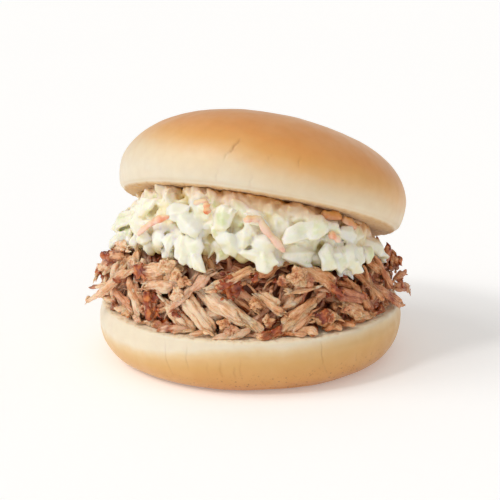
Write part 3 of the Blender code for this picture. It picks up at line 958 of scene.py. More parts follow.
# Shreds that stand out at the front. Each: degrees round the heap and height of one end and of the other,
# how far each stands out, width, all in mm; then flatness, number of the shape, bundles, tone and pinkness
FRONT_SHREDS = (
    # long pale shred that runs out to the left
    (-140.0, 40.8, -165.0, 22.8, 4.2, 11.2, 3.3, 0.75, 0, 3, 0.6, 0.5),
    # small tip beside it
    (-158.0, 30.5, -171.0, 25.8, 1.0, 9.2, 2.6, 0.8, 3, 2, 0.75, 0.2),
    # glazed stub at the far left, and pale ones below it
    (-154.0, 40.6, -165.0, 38.8, 1.2, 7.2, 3.8, 0.85, 0, 2, 0.2, 0.6),
    (-163.0, 37.0, -172.0, 31.8, 1.5, 5.8, 5.0, 0.75, 1, 3, 0.75, 0.2),
    (-179.0, 37.0, -174.0, 29.0, 3.5, 6.0, 4.6, 0.7, 4, 4, 0.65, 0.2),
    (-157.0, 38.5, -160.0, 31.0, 1.5, 3.0, 4.0, 0.75, 4, 3, 0.7, 0.3),
    # dark speckled one at the lower left, with pale meat round it
    (-158.5, 29.8, -142.5, 24.5, 3.0, 3.8, 3.2, 0.75, 4, 3, 0.0, 0.9),
    (-148.0, 33.0, -141.0, 21.5, 0.5, 2.0, 5.0, 0.7, 4, 3, 0.8, 0.4),
    (-154.0, 25.0, -147.0, 20.5, 0.5, 1.8, 3.8, 0.7, 0, 3, 0.6, 0.5),
    # upright one, red with sauce, at the left
    (-136.0, 34.0, -133.5, 20.0, 1.0, 3.0, 4.8, 0.75, 0, 3, 0.5, 0.6),
    # two wide pale chunks that stand on the heel left of the middle
    (-129.5, 31.2, -113.5, 20.2, 1.5, 3.0, 5.2, 0.65, 1, 4, 0.85, 0.2),
    (-118.5, 35.0, -104.0, 19.6, 2.2, 3.6, 6.6, 0.65, 4, 5, 0.95, 0.2),
    # long chunk that runs down to the right in the middle
    (-112.0, 36.2, -89.0, 23.2, 1.2, 4.2, 6.0, 0.6, 0, 5, 0.95, 0.1),
    (-100.0, 32.5, -84.0, 21.5, 1.5, 4.5, 2.6, 0.8, 1, 2, 0.85, 0.6),
    # pink one that forks over them
    (-123.5, 26.8, -112.5, 37.2, 5.0, 3.6, 2.6, 0.8, 2, 2, 0.8, 1.0),
    (-114.0, 35.0, -107.0, 41.8, 3.6, 2.2, 4.2, 0.6, 3, 3, 0.8, 1.0),
    # pale one with a pointed end, above the wide chunk
    (-135.5, 34.0, -121.0, 36.8, 4.0, 1.5, 4.2, 0.75, 2, 3, 0.85, 0.5),
    # chunk in sauce under the slaw at the left
    (-142.0, 37.8, -126.0, 40.0, 2.8, 2.2, 7.2, 0.55, 0, 4, 0.55, 0.4),
    (-150.0, 45.0, -144.0, 37.0, 0.0, 1.5, 4.2, 0.75, 4, 3, 0.6, 0.4),
    # by the sauce in the middle
    (-105.5, 37.2, -88.5, 43.0, 4.6, 1.8, 3.4, 0.75, 0, 3, 0.7, 0.1),
    (-88.0, 39.8, -74.5, 44.8, 1.6, 0.6, 4.0, 0.7, 3, 3, 0.25, 0.5),
    (-98.0, 40.5, -107.0, 40.0, 0.0, 0.0, 3.6, 0.7, 3, 3, 0.2, 0.9),
    # below the sauce: pale chunk that runs down beside a dark gap
    (-87.0, 35.0, -76.0, 29.0, 1.2, 3.0, 4.4, 0.7, 1, 4, 0.9, 0.2),
    (-91.0, 34.0, -86.0, 30.0, 0.5, 1.5, 4.6, 0.7, 4, 3, 0.4, 0.5),
    # long pale chunk above, right of the middle, and the dark striped one that goes on from it
    (-67.5, 44.2, -52.5, 34.5, 1.6, 4.0, 5.0, 0.7, 0, 5, 0.85, 0.1),
    (-55.0, 33.8, -38.0, 27.7, 2.8, 3.0, 5.0, 0.65, 4, 5, 0.15, 0.9),
    # pale crosswise bit
    (-75.0, 35.8, -61.0, 36.2, 3.2, 2.8, 3.2, 0.75, 3, 3, 1.0, 0.1),
    # lower right of the middle: run down to the left
    (-57.5, 33.8, -79.5, 22.5, 1.0, 4.2, 5.0, 0.65, 1, 4, 0.75, 0.3),
    (-63.5, 28.2, -76.5, 19.6, 1.8, 3.6, 6.0, 0.65, 2, 5, 0.7, 0.6),
    (-94.0, 21.8, -77.0, 19.6, 1.6, 5.0, 3.4, 0.75, 4, 3, 0.85, 0.9),
    (-98.0, 29.0, -84.0, 21.5, 1.2, 4.0, 3.0, 0.75, 1, 3, 0.8, 0.5),
    # right: steep thin ones
    (-46.0, 38.0, -38.0, 27.0, 1.5, 2.6, 3.0, 0.8, 1, 3, 0.45, 0.3),
    (-40.0, 38.5, -27.0, 26.0, 1.2, 4.0, 3.0, 0.8, 0, 3, 0.45, 0.4),
    (-34.5, 39.5, -31.0, 26.5, 2.5, 2.0, 2.6, 0.85, 1, 2, 0.55, 0.4),
    (-29.0, 40.0, -15.0, 29.0, 1.0, 3.8, 2.6, 0.85, 3, 2, 0.5, 0.2),
    (-24.0, 40.5, -19.0, 28.0, 2.0, 4.0, 2.6, 0.85, 0, 2, 0.4, 0.5),
    # wide brown one that runs down to the right edge of the heel
    (-35.0, 33.0, -13.0, 21.0, 3.0, 7.2, 4.0, 0.65, 2, 4, 0.3, 0.5),
    # tips at the far right
    (-13.0, 28.5, -2.0, 29.7, 3.0, 6.2, 4.0, 0.75, 1, 3, 0.4, 0.5),
    (-14.0, 27.2, -2.0, 23.2, 3.0, 8.5, 3.6, 0.75, 0, 3, 0.45, 0.5),
    (4.0, 34.5, -4.0, 35.2, 1.0, 5.5, 4.0, 0.75, 4, 3, 0.5, 0.3),
    (-10.0, 34.5, -4.0, 41.2, 1.0, 2.8, 3.6, 0.8, 1, 2, 0.1, 0.9),
    (4.0, 29.0, -7.0, 37.2, 3.4, 3.4, 5.0, 0.75, 4, 3, 0.4, 0.3),
    # rags on the heel at the lower right
    (-50.0, 29.0, -40.0, 22.2, 2.2, 3.6, 5.0, 0.5, 4, 4, 0.8, 0.3),
    (-64.0, 26.2, -53.0, 23.8, 2.6, 4.0, 5.2, 0.5, 3, 4, 0.8, 0.3),
    (-44.0, 24.0, -33.0, 21.2, 2.0, 3.6, 3.6, 0.6, 3, 3, 0.7, 0.4),
    # under the slaw's tips at the left, and below the glazed stub
    (-169.0, 41.2, -153.0, 43.8, 3.0, 2.2, 5.4, 0.75, 4, 4, 0.7, 0.2),
    (-176.0, 33.5, -166.0, 25.8, 3.6, 3.6, 5.0, 0.7, 4, 4, 0.6, 0.3),
)


def front_shred_reach(angle, height):
    """Reach of the pork at a height, under its outermost layer."""
    low, high = band(angle, *PORK_HEAP)
    return float(pork_reach(angle, min(1.0, (height - low) / (high - low)))) - OUTER_LAYER


def lay_front_shreds(batch):
    """The listed shreds; the wide ones that aren't glazed fray at both ends."""
    draw, frays = random.Random(SEEDS["front_shreds"]), random.Random(SEEDS["frays"])
    for row in FRONT_SHREDS:
        middle, line = span(row, front_shred_reach)
        width, flatness, shape, strands, tone, pink = row[6] * MM, *row[7:]
        along, length = unit(line), float(np.linalg.norm(line))
        outward = unit(middle * np.array((1.0, 1.0, 0.25)))
        torn_strip(draw, batch, middle, along, outward, length, width, flatness, STRIP_SHAPES[shape],
                   rings=32, sides=32, strands=strands, ragged=0.50, splay=0.45, sag=0.02, bow=0.03,
                   twist=0.35, rough=1.05 if tone > GLAZED_TONE else 0.55, tone=tone, pink=pink)
        if width > FRAYED_WIDTH and tone > GLAZED_TONE:
            for ahead in (-along, along):
                end = middle + ahead * length / 2.0
                lay_frays(frays, batch, end, ahead, outward, width, tone=tone, pink=pink)


def lay_frays(draw, batch, end, ahead, normal, width, **looks):
    """Thin fibres that stick out of the torn end of a shred."""
    side = unit(np.cross(ahead, normal))
    for _k in range(draw.choice((2, 3, 3, 4))):
        root = end + side * width * draw.uniform(-0.36, 0.36) - ahead * draw.uniform(0.0006, 0.0020)
        along = unit(ahead + side * draw.uniform(-0.45, 0.45) + normal * draw.uniform(-0.30, 0.22))
        length, thin, flatness = (draw.uniform(*ends) for ends in FRAY_SIZES)
        torn_strip(draw, batch, root + along * length * 0.3, along, normal, length, thin, flatness,
                   FRAY_SHAPE, rings=10, sides=8, strands=1, rough=1.2, **looks)


# Granular clumps at the front: degrees round the heap, height, how far out and size, in mm
FRONT_CLUMPS = (
    (-120.5, 40.0, 1.8, 2.2), (-116.5, 38.5, 2.0, 2.0), (-119.0, 34.0, 2.6, 2.1), (-126.0, 42.5, 0.6, 2.4),
    (-147.0, 40.5, 0.4, 1.9), (-100.0, 25.0, 1.4, 2.1), (-97.0, 22.5, 2.2, 1.9), (-71.0, 40.8, 1.8, 2.8),
    (-67.5, 39.2, 1.6, 2.2), (-77.0, 39.8, 1.4, 2.0), (-88.5, 32.0, 1.4, 2.1), (-57.5, 25.5, 3.2, 1.8),
    (-48.5, 26.8, 2.8, 1.9), (-139.0, 25.0, 1.2, 1.7), (-83.0, 26.2, 1.0, 1.8),
)


def lay_clumps(batch, count):
    """The listed clumps, and small ones scattered all over the pork."""
    draw = random.Random(SEEDS["front_clumps"])
    for degrees, height, out, size in FRONT_CLUMPS:
        radius = PORK_RADIUS - 0.0015 + out * MM
        place, outward, _round = on_side(math.radians(degrees), radius, height * MM)
        looks = {"tone": draw.uniform(0.3, 0.9), "pink": draw.random()}
        crumbly_bit(draw, batch, place, outward, size * MM, rings=22, sides=24, lumps=1.25, **looks)
    for draw, angle, share in spread_round(count, SEEDS["clumps"], PORK_HEAP, rows=5):
        right = max(0.0, math.cos(angle)) ** 6
        place, normal, _round = pork_place(angle, share, draw.uniform(-0.0002, 0.0030) + 0.0024 * right)
        crumbly_bit(draw, batch, place, normal, draw.uniform(0.0010, 0.0025), rings=12, sides=14,
                    tone=draw.uniform(0.2, 0.9), pink=draw.random())


# Sauce lies on the pork in these places: degrees round the heap, height and reach, in mm
SAUCE_SPOTS = (
    (-163.0, 39.2, 4.2), (-139.0, 38.8, 4.0), (-142.5, 36.2, 2.4), (-134.5, 30.0, 3.8), (-133.0, 25.0, 3.2),
    (-160.0, 21.5, 2.4), (-128.0, 21.2, 3.4), (-122.0, 20.8, 2.4), (-120.0, 27.0, 1.8), (-99.0, 36.2, 4.2),
    (-94.5, 36.0, 3.2), (-99.4, 42.0, 3.0), (-88.0, 39.5, 2.6), (-78.0, 38.5, 2.4), (-53.5, 34.2, 3.6),
    (-80.0, 23.2, 2.8), (-83.5, 21.2, 2.2), (-60.0, 26.2, 2.8), (-46.0, 37.8, 2.2), (-27.0, 22.5, 2.4),
    (-8.0, 26.5, 2.4), (-5.0, 39.2, 2.8), (-3.0, 33.0, 2.2), (-150.0, 33.0, 2.0), (-172.0, 31.0, 2.6),
    (-168.0, 26.2, 2.0), (-30.0, 35.0, 2.0), (-38.0, 30.0, 1.6),
)


def sauce_spots():
    """Centre, outward direction, direction round and reach of the listed spots, and of others scattered
    over the sides and the back."""
    draw = random.Random(SEEDS["sauce_spots"])
    spots = [(degrees, height * MM, reach * MM) for degrees, height, reach in SAUCE_SPOTS]
    for i in range(26):
        degrees = 6.0 + 6.4 * i + draw.uniform(-3.0, 3.0)
        turn = math.radians(degrees)
        top = float(pork_top_z(0.05 * math.cos(turn), 0.05 * math.sin(turn)))
        spots.append((degrees, draw.uniform(HEEL_HEIGHT + 0.001, top), draw.uniform(0.0015, 0.0030)))
    for degrees, height, reach in spots:
        yield *on_side(math.radians(degrees), PORK_RADIUS + 0.001, height), reach


def sauce_cover(points):
    """Share of sauce on each point: it soaks the meat round each spot, thinner outwards."""
    wander = 0.55 * noise_at(points, 300.0, 1.0) + 0.35 * noise_at(points, 900.0, 2.0)
    cover = np.zeros(len(points))
    for centre, outward, round_it, reach in sauce_spots():
        away = points - centre
        inward = np.clip(-(away @ outward), 0.0, None)
        aside = np.sqrt((away @ round_it) ** 2 + away[:, 2] ** 2 + inward ** 2)
        cover = np.maximum(cover, 1.0 - smoothstep(0.5, 1.5, aside / reach + wander))
    return cover


def lay_sauce(batch, pieces):
    """Small drops all over the outermost meat round each spot, fewer outwards. They run together later."""
    draw = random.Random(SEEDS["sauce_drops"])
    meat = np.concatenate([positions(piece.data) for piece in pieces])
    for centre, outward, round_it, reach in sauce_spots():
        away = meat - centre
        near = away[np.linalg.norm(away, axis=1) < 2.4 * reach]
        across, up, out = near @ round_it, near[:, 2], near @ outward
        aside = np.hypot(across, up) / reach
        columns = zip(across // SAUCE_CELL, up // SAUCE_CELL)
        outermost = {}
        for number, column in enumerate(columns):
            if aside[number] < 1.0 and (column not in outermost or out[number] > out[outermost[column]]):
                outermost[column] = number
        for number in outermost.values():
            if draw.random() > 1.3 * aside[number] - 0.35:
                place, size = centre + near[number], draw.uniform(0.00040, 0.00068)
                crumbly_bit(draw, batch, place, outward, size, rings=6, sides=8, lumps=0.3, flat=0.8)


def meat_material():
    """Shredded pork: pale tan fibres, painted shade in their splits and gaps, painted light that is paler on
    the left and browner on the right, and red-brown sauce in places.
    """
    paint = Paint("pork_fibres")
    grain = paint.attribute("grain", "Vector")
    place = paint.place()
    fibres = paint.spread(paint.grain(grain, 1.2, 3.0, 0.6), 0.30, 0.70)
    threads = paint.grain(grain, 2.8, 2.0, 0.6)
    crumbs = paint.grain(place, 1000.0, 2.0, 0.6)
    light = paint.total(
        (paint.attribute("tone"), 0.26),
        (fibres, 0.22),
        (threads, 0.28),
        (paint.grain(place, 230.0, 2.0, 0.6), 0.56),
        (crumbs, 0.30),
        # Painted shade: darker in the hollows between bundles of fibres
        (paint.attribute("hollow"), -0.18),
        # Painted light: paler on the lit left, browner in shade on the right
        (paint.attribute("painted_side_light"), -0.22),
    )
    colour = paint.ramp(
        paint.spread(light, 0.36, 1.00),
        (0.00, 138, 50, 12),
        (0.22, 178, 99, 48),
        (0.46, 214, 147, 94),
        (0.74, 238, 187, 141),
        (1.00, 252, 219, 186),
    )
    pink = paint.spread(paint.attribute("pink"), 0.35, 1.0, 0.0, 0.40)
    colour = paint.coat(colour, (pink, 206, 138, 116))
    stain = paint.spread(paint.grain(place, 130.0, 3.0, 0.6), 0.54, 0.68, 0.0, 0.5)
    sauce = paint.math("MAXIMUM", paint.attribute("sauce"), stain)
    soaked = paint.math("ADD", sauce, paint.spread(fibres, 0.1, 0.9, 0.25, -0.25))
    soaked = paint.spread(soaked, 0.25, 0.95)
    glaze = paint.ramp(
        paint.grain(place, 330.0),
        (0.32, 116, 42, 14),
        (0.50, 168, 80, 36),
        (0.66, 206, 124, 68),
        (0.80, 228, 164, 104),
    )
    colour = paint.blend(paint.math("MULTIPLY", soaked, 0.85), colour, glaze)
    # Painted shade: dark red-brown deep in the gaps between the shreds
    deep = paint.spread(paint.attribute("deep"), 0.35, 1.0, 0.0, 0.85)
    colour = paint.coat(colour, (deep, 116, 36, 5))
    relief = paint.total((fibres, 1.0), (threads, 0.6), (crumbs, 0.4))
    normal = paint.bump(relief, distance=0.00036, strength=0.9)
    rough = paint.total((paint.spread(threads, 0.3, 0.7, 0.20, 0.40), 1.0), (soaked, -0.24))
    return paint.finish(colour, rough, normal, flesh=(0.40, 0.0020, (1.0, 0.45, 0.26)),
                        Specular_IOR_Level=0.5)


def sauce_material():
    """Glossy barbecue sauce: deep red-brown, orange where it is thin."""
    paint = Paint("barbecue_sauce")
    cloud = paint.grain(paint.place(), 420.0)
    colour = paint.ramp(cloud, (0.35, 112, 36, 10), (0.50, 162, 70, 26), (0.68, 212, 128, 66))
    rough = paint.spread(cloud, 0.3, 0.7, 0.06, 0.14)
    normal = paint.bump(cloud, distance=0.0003, strength=0.6)
    return paint.finish(colour, rough, normal, flesh=(0.2, 0.0010, (1.0, 0.45, 0.20)),
                        Specular_IOR_Level=0.6)


def dark_meat_material():
    """Painted shade: dark red-brown meat deep between the shreds, sauce-soaked."""
    paint = Paint("pork_depth")
    lumps = paint.grain(paint.place(), 420.0, 3.0, 0.6)
    colour = paint.ramp(lumps, (0.3, 116, 46, 14), (0.7, 168, 94, 50))
    normal = paint.bump(lumps, distance=0.0006, strength=0.8)
    return paint.finish(colour, paint.spread(lumps, 0.3, 0.7, 0.35, 0.55), normal)


def pork_depth(points):
    """How deep in the heap each point lies, from 0 on the outside to 1 in the gaps between the shreds."""
    angle, radius = round_axis(points)
    high = pork_top_z(0.98 * points[:, 0], 0.98 * points[:, 1])
    share = share_of(HEEL_HEIGHT, high, points[:, 2])
    over = np.clip(points[:, 2] - high, -0.004, 0.004) * 0.5
    return np.clip((pork_reach(angle, share) + OUTER_LAYER - radius - over) / PIT_DEPTH, 0.0, 1.0)


def finish_pork(piece, material):
    points = positions(piece.data)
    # Painted light and shade by place: paler on the left, browner on the right
    painted_side_light = smoothstep(-0.030, 0.040, points[:, 0]) - 0.32
    add_values(piece.data, {"deep": pork_depth(points), "sauce": sauce_cover(points), "painted_side_light": painted_side_light})
    dress(piece, material, "pork", "pulled_pork")
    return piece


def make_pork():
    inside = heap_core(PORK_HEAP, inset=0.0048, relief=0.0012, seed=2.0, top=0.0015)
    core = mesh_object("pork_core", *inside, {})
    # The core is painted dark as shade deep between the shreds
    dress(core, dark_meat_material(), "pork", "pulled_pork")
    meat = meat_material()
    front, chunks, strips, clumps, sauce = (Batch() for _k in range(5))
    lay_front_shreds(front)
    lay_pork(chunks, count=135, seed=31, rows=4, lengths=(0.011, 0.019), widths=(0.0036, 0.0058),
             depths=(-0.0004, 0.0030), flatness=(0.60, 0.90), rings=24, sides=28, strands=(3, 4, 4, 5),
             steep=(8.0, 62.0), lift=0.25)
    lay_pork(strips, count=230, seed=47, rows=7, lengths=(0.007, 0.015), widths=(0.0015, 0.0030),
             depths=(-0.0006, 0.0024), flatness=(0.7, 1.0), rings=16, sides=14, strands=(1, 2, 2),
             steep=(5.0, 80.0), lift=0.30)
    lay_pork(strips, count=200, seed=53, rows=9, lengths=(0.004, 0.009), widths=(0.0006, 0.0011),
             depths=(-0.0010, 0.0008), flatness=(0.8, 1.0), rings=10, sides=6, strands=(1,),
             steep=(5.0, 85.0), lift=0.25, bow=0.30)
    lay_foot(clumps, count=84)
    lay_clumps(clumps, count=36)
    lay_pork(clumps, count=240, seed=67, rows=8, lengths=(0.0020, 0.0045), widths=(0.0012, 0.0022),
             depths=(-0.0010, 0.0014), flatness=(0.6, 1.0), rings=8, sides=9, strands=(1, 2),
             steep=(0.0, 90.0), lift=0.60)
    kinds = {"pork_front": front, "pork_chunks": chunks, "pork_strips": strips, "pork_clumps": clumps}
    pieces = [finish_pork(batch.build(name), meat) for name, batch in kinds.items()]
    lay_sauce(sauce, pieces[:3])
    drops = fused(sauce.build("pork_sauce"), SAUCE_VOXEL, keep=0.5, smoothing=3)
    dress(drops, sauce_material(), "pork", "pulled_pork")


# --- Slaw ---


def slaw_skin(angle, share):
    """Reach of the dressed slaw. It bulges a little further than the solid, most under the crown's raised
    front, and draws in at the upper left."""
    bulge = SLAW_BULGE + SLAW_FRONT_BULGE * np.clip(-np.sin(angle), 0.0, 1.0)
    left = np.clip(-np.cos(angle), 0.0, 1.0) ** 3 * smoothstep(0.45, 0.95, share)
    return slaw_reach(angle, share) + bulge * smoothstep(0.1, 0.8, share) - SLAW_LEFT_DRAW_IN * left


SLAW_HEAP = (slaw_skin, pork_top_z, crown_face_z)

# Rings of a leaf from the middle of its face, over the edge, to the middle of its back: how far out each
# lies, and on which side
LEAF_RINGS = (
    (0.25, 0.9), (0.50, 0.9), (0.74, 1.0), (0.92, 0.9),
    (1.0, 0.0), (0.92, -0.8), (0.66, -1.0), (0.33, -1.0),
)
CARROT_SHAPE = (0.75, 1.0, 0.90, 1.0, 0.65)

# Smallest and largest length, width, thickness and cup of a bit of the creamy mass
BASE_BIT_SIZES = ((0.006, 0.011), (0.0045, 0.0075), (0.0014, 0.0022), (-0.2, 1.4))


def slaw_place(angle, share, out):
    """Place on the slaw's side, with its outward direction and the direction round it."""
    reach = float(slaw_skin(angle, share))
    x, y = reach * math.cos(angle), reach * math.sin(angle)
    low, high = float(pork_top_z(x, y)), float(crown_face_z(x, y))
    return on_side(angle, reach + out, low + (high - low) * share)


def slaw_share(angle, height):
    """Share of the slaw's height at an angle that a given height is."""
    low, high = band(angle, *SLAW_HEAP)
    return min(1.0, max(0.0, (height - low) / (high - low)))


def leaf_edge(draw, corners, sectors):
    """Reach of a torn leaf in each direction, in half sizes: straight cuts between its corners, the first
    of which is its tip, and teeth along a part of its edge."""
    turns = full_turn(sectors)
    places = [(j + draw.uniform(-0.28, 0.28)) * 2.0 * math.pi / corners for j in range(corners)]
    reaches = [draw.uniform(0.74, 1.28) for _j in range(corners)]
    reaches[0] = max(reaches[0], 1.08)
    reach = np.ones(sectors)
    for j in range(corners):
        near, far = reaches[j], reaches[(j + 1) % corners]
        wide = (places[(j + 1) % corners] - places[j]) % (2.0 * math.pi)
        past = (turns - places[j]) % (2.0 * math.pi)
        cut = near * far * math.sin(wide) / (near * np.sin(past) + far * np.sin(wide - past))
        reach = np.where(past < wide, np.clip(cut, 0.45, 1.3), reach)
    toothed = smoothstep(-0.6, 0.4, np.cos(turns - draw.uniform(-1.6, 1.6)))
    count = max(6, sectors // 3)
    knots = [(k + draw.uniform(-0.3, 0.3)) * 2.0 * math.pi / count for k in range(count)]
    teeth = np.interp(turns, knots, [draw.uniform(-0.17, 0.09) for _k in knots], period=2.0 * math.pi)
    return reach * (1.0 + toothed * teeth)


def leaf_plate(draw, middle, along, normal, length, width, thickness, cup, corners, sectors):
    """Rings of points of a torn bit of cabbage: cupped, rippled, with a rib. Also where each lies on the
    leaf, its share of the reach, and how high it is over the leaf's back."""
    side = unit(np.cross(along, normal))
    normal = np.cross(side, along)
    turns = full_turn(sectors)
    share, lift = np.array(LEAF_RINGS).T[..., None]
    reach = leaf_edge(draw, corners, sectors) * share
    a, b = np.cos(turns) * reach * length / 2.0, np.sin(turns) * reach * width / 2.0
    rib = 0.5 * thickness * np.exp(-((b / (0.12 * width)) ** 2)) * (lift > 0.0)
    bend = -cup * (a * a / length + 0.8 * b * b / width)
    fold = draw.uniform(-0.45, 0.25) * np.abs(b + draw.uniform(-0.15, 0.15) * width)
    fold = fold + draw.uniform(-0.35, 0.15) * np.abs(a + draw.uniform(-0.2, 0.2) * length)
    waves = np.sin(draw.choice((2.0, 3.0, 4.0)) * turns + draw.uniform(0.0, 6.0))
    ripple = 0.07 * width * waves * share ** 2
    own = noise_shift(draw)
    flat = np.stack((a / MM, b / MM, 0.0 * a), axis=2)
    swirl = 0.0012 * noise_at(flat * 0.22 + own, 1.0)
    cream = 0.00030 * noise_at(flat * 0.75 + own, 1.0) * (lift > 0.0)
    c = lift * thickness / 2.0 + rib + bend + fold + ripple + swirl + cream
    points = middle + along * a[..., None] + side * b[..., None] + normal * c[..., None]
    return points, flat + own, np.broadcast_to(share, a.shape), (lift + 1.0) * thickness / 2.0 + 0.0 * a


def outside_pork(points, layer, clearance):
    """Moves points that hang below the pork's top out of the pork; layer is their height on the leaf."""
    angle, radius = round_axis(points)
    high = pork_top_z(points[..., 0], points[..., 1])
    share = np.clip((points[..., 2] - HEEL_HEIGHT) / (high - HEEL_HEIGHT), 0.0, 1.0)
    wanted = pork_reach(angle, share) + layer + clearance
    below = smoothstep(-0.001, 0.002, high - points[..., 2])
    grow = 1.0 + below * np.clip(wanted - radius, 0.0, None) / radius
    return points * np.stack((grow, grow, np.ones_like(grow)), axis=-1)


def raised(points, hang):
    """Lifts a bit until no point of it hangs further than hang below the top of the pork."""
    deepest = float(np.min(points[..., 2] - pork_top_z(points[..., 0], points[..., 1])))
    return points + UP * max(0.0, -hang - deepest)


def add_leaf(draw, batch, place, along, normal, length, width, corners, tint, clearance, cup, hang=1.0):
    """A bit of cabbage on the slaw's side, out to length along and width across. It may hang that far below
    the pork's top."""
    sectors = 44 if length > LARGE_LEAF else 28
    thickness = draw.uniform(0.0012, 0.0018)
    points, flat, share, layer = leaf_plate(draw, place, along, normal, length, width, thickness,
                                            draw.uniform(*cup), corners, sectors)
    bare = tint * (1.0 - smoothstep(0.30, 0.95, capped(share, (0.0, 0.0))))
    batch.add_tube(outside_pork(raised(points, hang), layer, clearance), leaf=capped(flat), bare=bare)


# The bits of cabbage that show at the front. Each: degrees round the heap and height of one end and of the
# other, how far out each end is, width, all in mm; then corners and tint
FRONT_LEAVES = (
    # tips that stand out at the left
    (-160.0, 54.5, -174.0, 46.2, 0.4, 5.6, 8.0, 5, 0.4),
    (-163.0, 48.0, -168.0, 42.5, 1.0, 6.0, 6.5, 5, 0.2),
    (-157.0, 58.0, -150.0, 50.0, 0.8, 1.8, 7.8, 6, 0.5),
    # narrow bits that hang down over the pork, from left to right
    (-156.5, 48.0, -155.0, 42.5, 0.8, 1.6, 4.2, 4, 0.2),
    (-149.5, 50.0, -149.0, 44.5, 1.2, 1.6, 4.0, 4, 0.2),
    (-140.0, 53.0, -145.0, 47.5, 1.8, 2.6, 6.2, 6, 0.2),
    (-133.0, 55.5, -131.5, 46.8, 1.8, 3.0, 7.6, 6, 0.2),
    (-125.5, 53.5, -126.0, 46.8, 1.2, 2.8, 4.8, 5, 0.4),
    # large sheet that hangs down left of the middle
    (-116.5, 56.0, -113.5, 44.0, 2.0, 3.6, 10.4, 8, 0.3),
    (-114.0, 49.0, -108.0, 42.0, 3.0, 4.2, 5.6, 5, 0.1),
    (-119.0, 53.5, -118.5, 44.0, 1.6, 3.6, 6.8, 6, 0.2),
    # white mass above it
    (-129.0, 59.0, -117.0, 62.5, 2.0, 2.6, 7.2, 7, 0.1),
    (-121.0, 61.0, -111.0, 55.5, 2.6, 3.0, 8.0, 7, 0.1),
    (-139.0, 64.0, -148.5, 55.5, 1.4, 1.8, 7.4, 6, 0.4),
    # green bits round the gap left of the middle
    (-107.5, 58.8, -102.0, 52.5, 1.0, 1.4, 3.0, 4, 1.0),
    (-101.0, 66.5, -101.0, 56.0, 2.2, 3.0, 7.2, 6, 0.7),
    (-107.5, 61.2, -94.5, 63.2, 1.2, 1.2, 3.6, 5, 0.3),
    # white bits in the middle
    (-101.0, 58.0, -96.0, 46.8, 2.8, 2.8, 8.4, 7, 0.1),
    (-92.0, 58.5, -93.0, 49.2, 2.2, 1.8, 6.2, 6, 0.1),
    (-93.0, 63.2, -81.0, 58.5, 2.2, 3.0, 5.0, 6, 0.1),
    (-89.0, 54.8, -78.0, 51.5, 2.6, 3.0, 7.6, 7, 0.1),
    # wide sheet with a tip that hangs down in the middle
    (-95.0, 49.8, -78.0, 46.2, 2.0, 3.4, 7.0, 8, 0.3),
    (-85.0, 50.5, -84.0, 42.0, 3.0, 3.8, 8.0, 7, 0.4),
    # right of the middle
    (-62.0, 58.0, -79.0, 54.5, 4.2, 4.0, 7.8, 7, 0.3),
    (-68.0, 55.6, -54.5, 58.2, 4.4, 4.4, 9.8, 7, 0.6),
    (-70.0, 60.8, -57.0, 59.2, 2.2, 2.2, 5.6, 6, 0.2),
    (-79.0, 48.5, -61.0, 47.8, 2.2, 2.6, 6.2, 7, 0.1),
    (-60.0, 50.5, -54.5, 41.2, 2.6, 4.0, 8.8, 7, 0.3),
    (-44.5, 50.0, -42.5, 40.2, 3.4, 5.2, 11.2, 8, 0.2),
    (-56.0, 47.0, -44.0, 45.5, 3.0, 4.0, 7.0, 7, 0.2),
    (-53.0, 47.5, -47.0, 41.2, 3.4, 4.4, 10.0, 7, 0.4),
    (-45.0, 44.0, -40.0, 38.4, 4.4, 5.4, 6.2, 5, 0.1),
    (-38.0, 47.5, -38.5, 41.0, 3.0, 4.2, 7.0, 6, 0.2),
    (-74.0, 64.0, -62.0, 61.8, 0.6, 1.0, 6.0, 6, 0.1),
    (-50.0, 54.5, -36.0, 50.0, 2.4, 2.4, 6.6, 7, 0.3),
    # yellow-green bit and the tip at the right
    (-30.0, 47.0, -33.5, 39.8, 3.4, 5.0, 6.4, 5, 1.8),
    (-24.0, 48.0, -12.5, 38.5, 2.0, 5.0, 7.8, 6, 0.2),
    (-28.0, 54.5, -10.0, 50.0, 1.0, 1.2, 6.0, 6, 0.3),
    (-57.0, 57.5, -50.5, 53.5, 3.8, 3.6, 6.0, 5, 0.4),
)

# Gaps in the slaw that show its depths: degrees round the heap, height and reach, in mm
SLAW_PITS = (
    (-104.0, 57.5, 2.4), (-108.5, 53.8, 1.8), (-72.0, 53.2, 2.0), (-91.0, 53.0, 1.6), (-57.0, 46.2, 2.0),
    (-139.5, 60.0, 2.0), (-151.0, 59.0, 1.6), (-78.0, 59.0, 1.4), (-106.0, 47.0, 2.2), (-60.0, 52.0, 1.4),
    (-122.5, 53.0, 1.4),
)


def in_pit(place, room):
    """True where a place is in or near one of the gaps."""
    for degrees, height, reach in SLAW_PITS:
        angle = math.radians(degrees)
        centre = slaw_place(angle, slaw_share(angle, height * MM), 0.0)[0]
        if np.linalg.norm(place - centre) < reach * MM + room:
            return True
    return False


def front_leaf_reach(angle, height):
    return float(slaw_skin(angle, slaw_share(angle, height)))


def lay_front_leaves(batch):
    draw = random.Random(SEEDS["front_leaves"])
    for row in FRONT_LEAVES:
        place, line = span(row, front_leaf_reach)
        width, corners, tint = row[6] * MM, *row[7:]
        along, length = unit(line), float(np.linalg.norm(line))
        normal = unit(unit(place * LEVEL) + UP * draw.uniform(0.2, 0.6) + along * draw.gauss(0.0, 0.15))
        add_leaf(draw, batch, place, along, normal, length, width, corners, tint, clearance=0.0016,
                 cup=(0.2, 0.7))


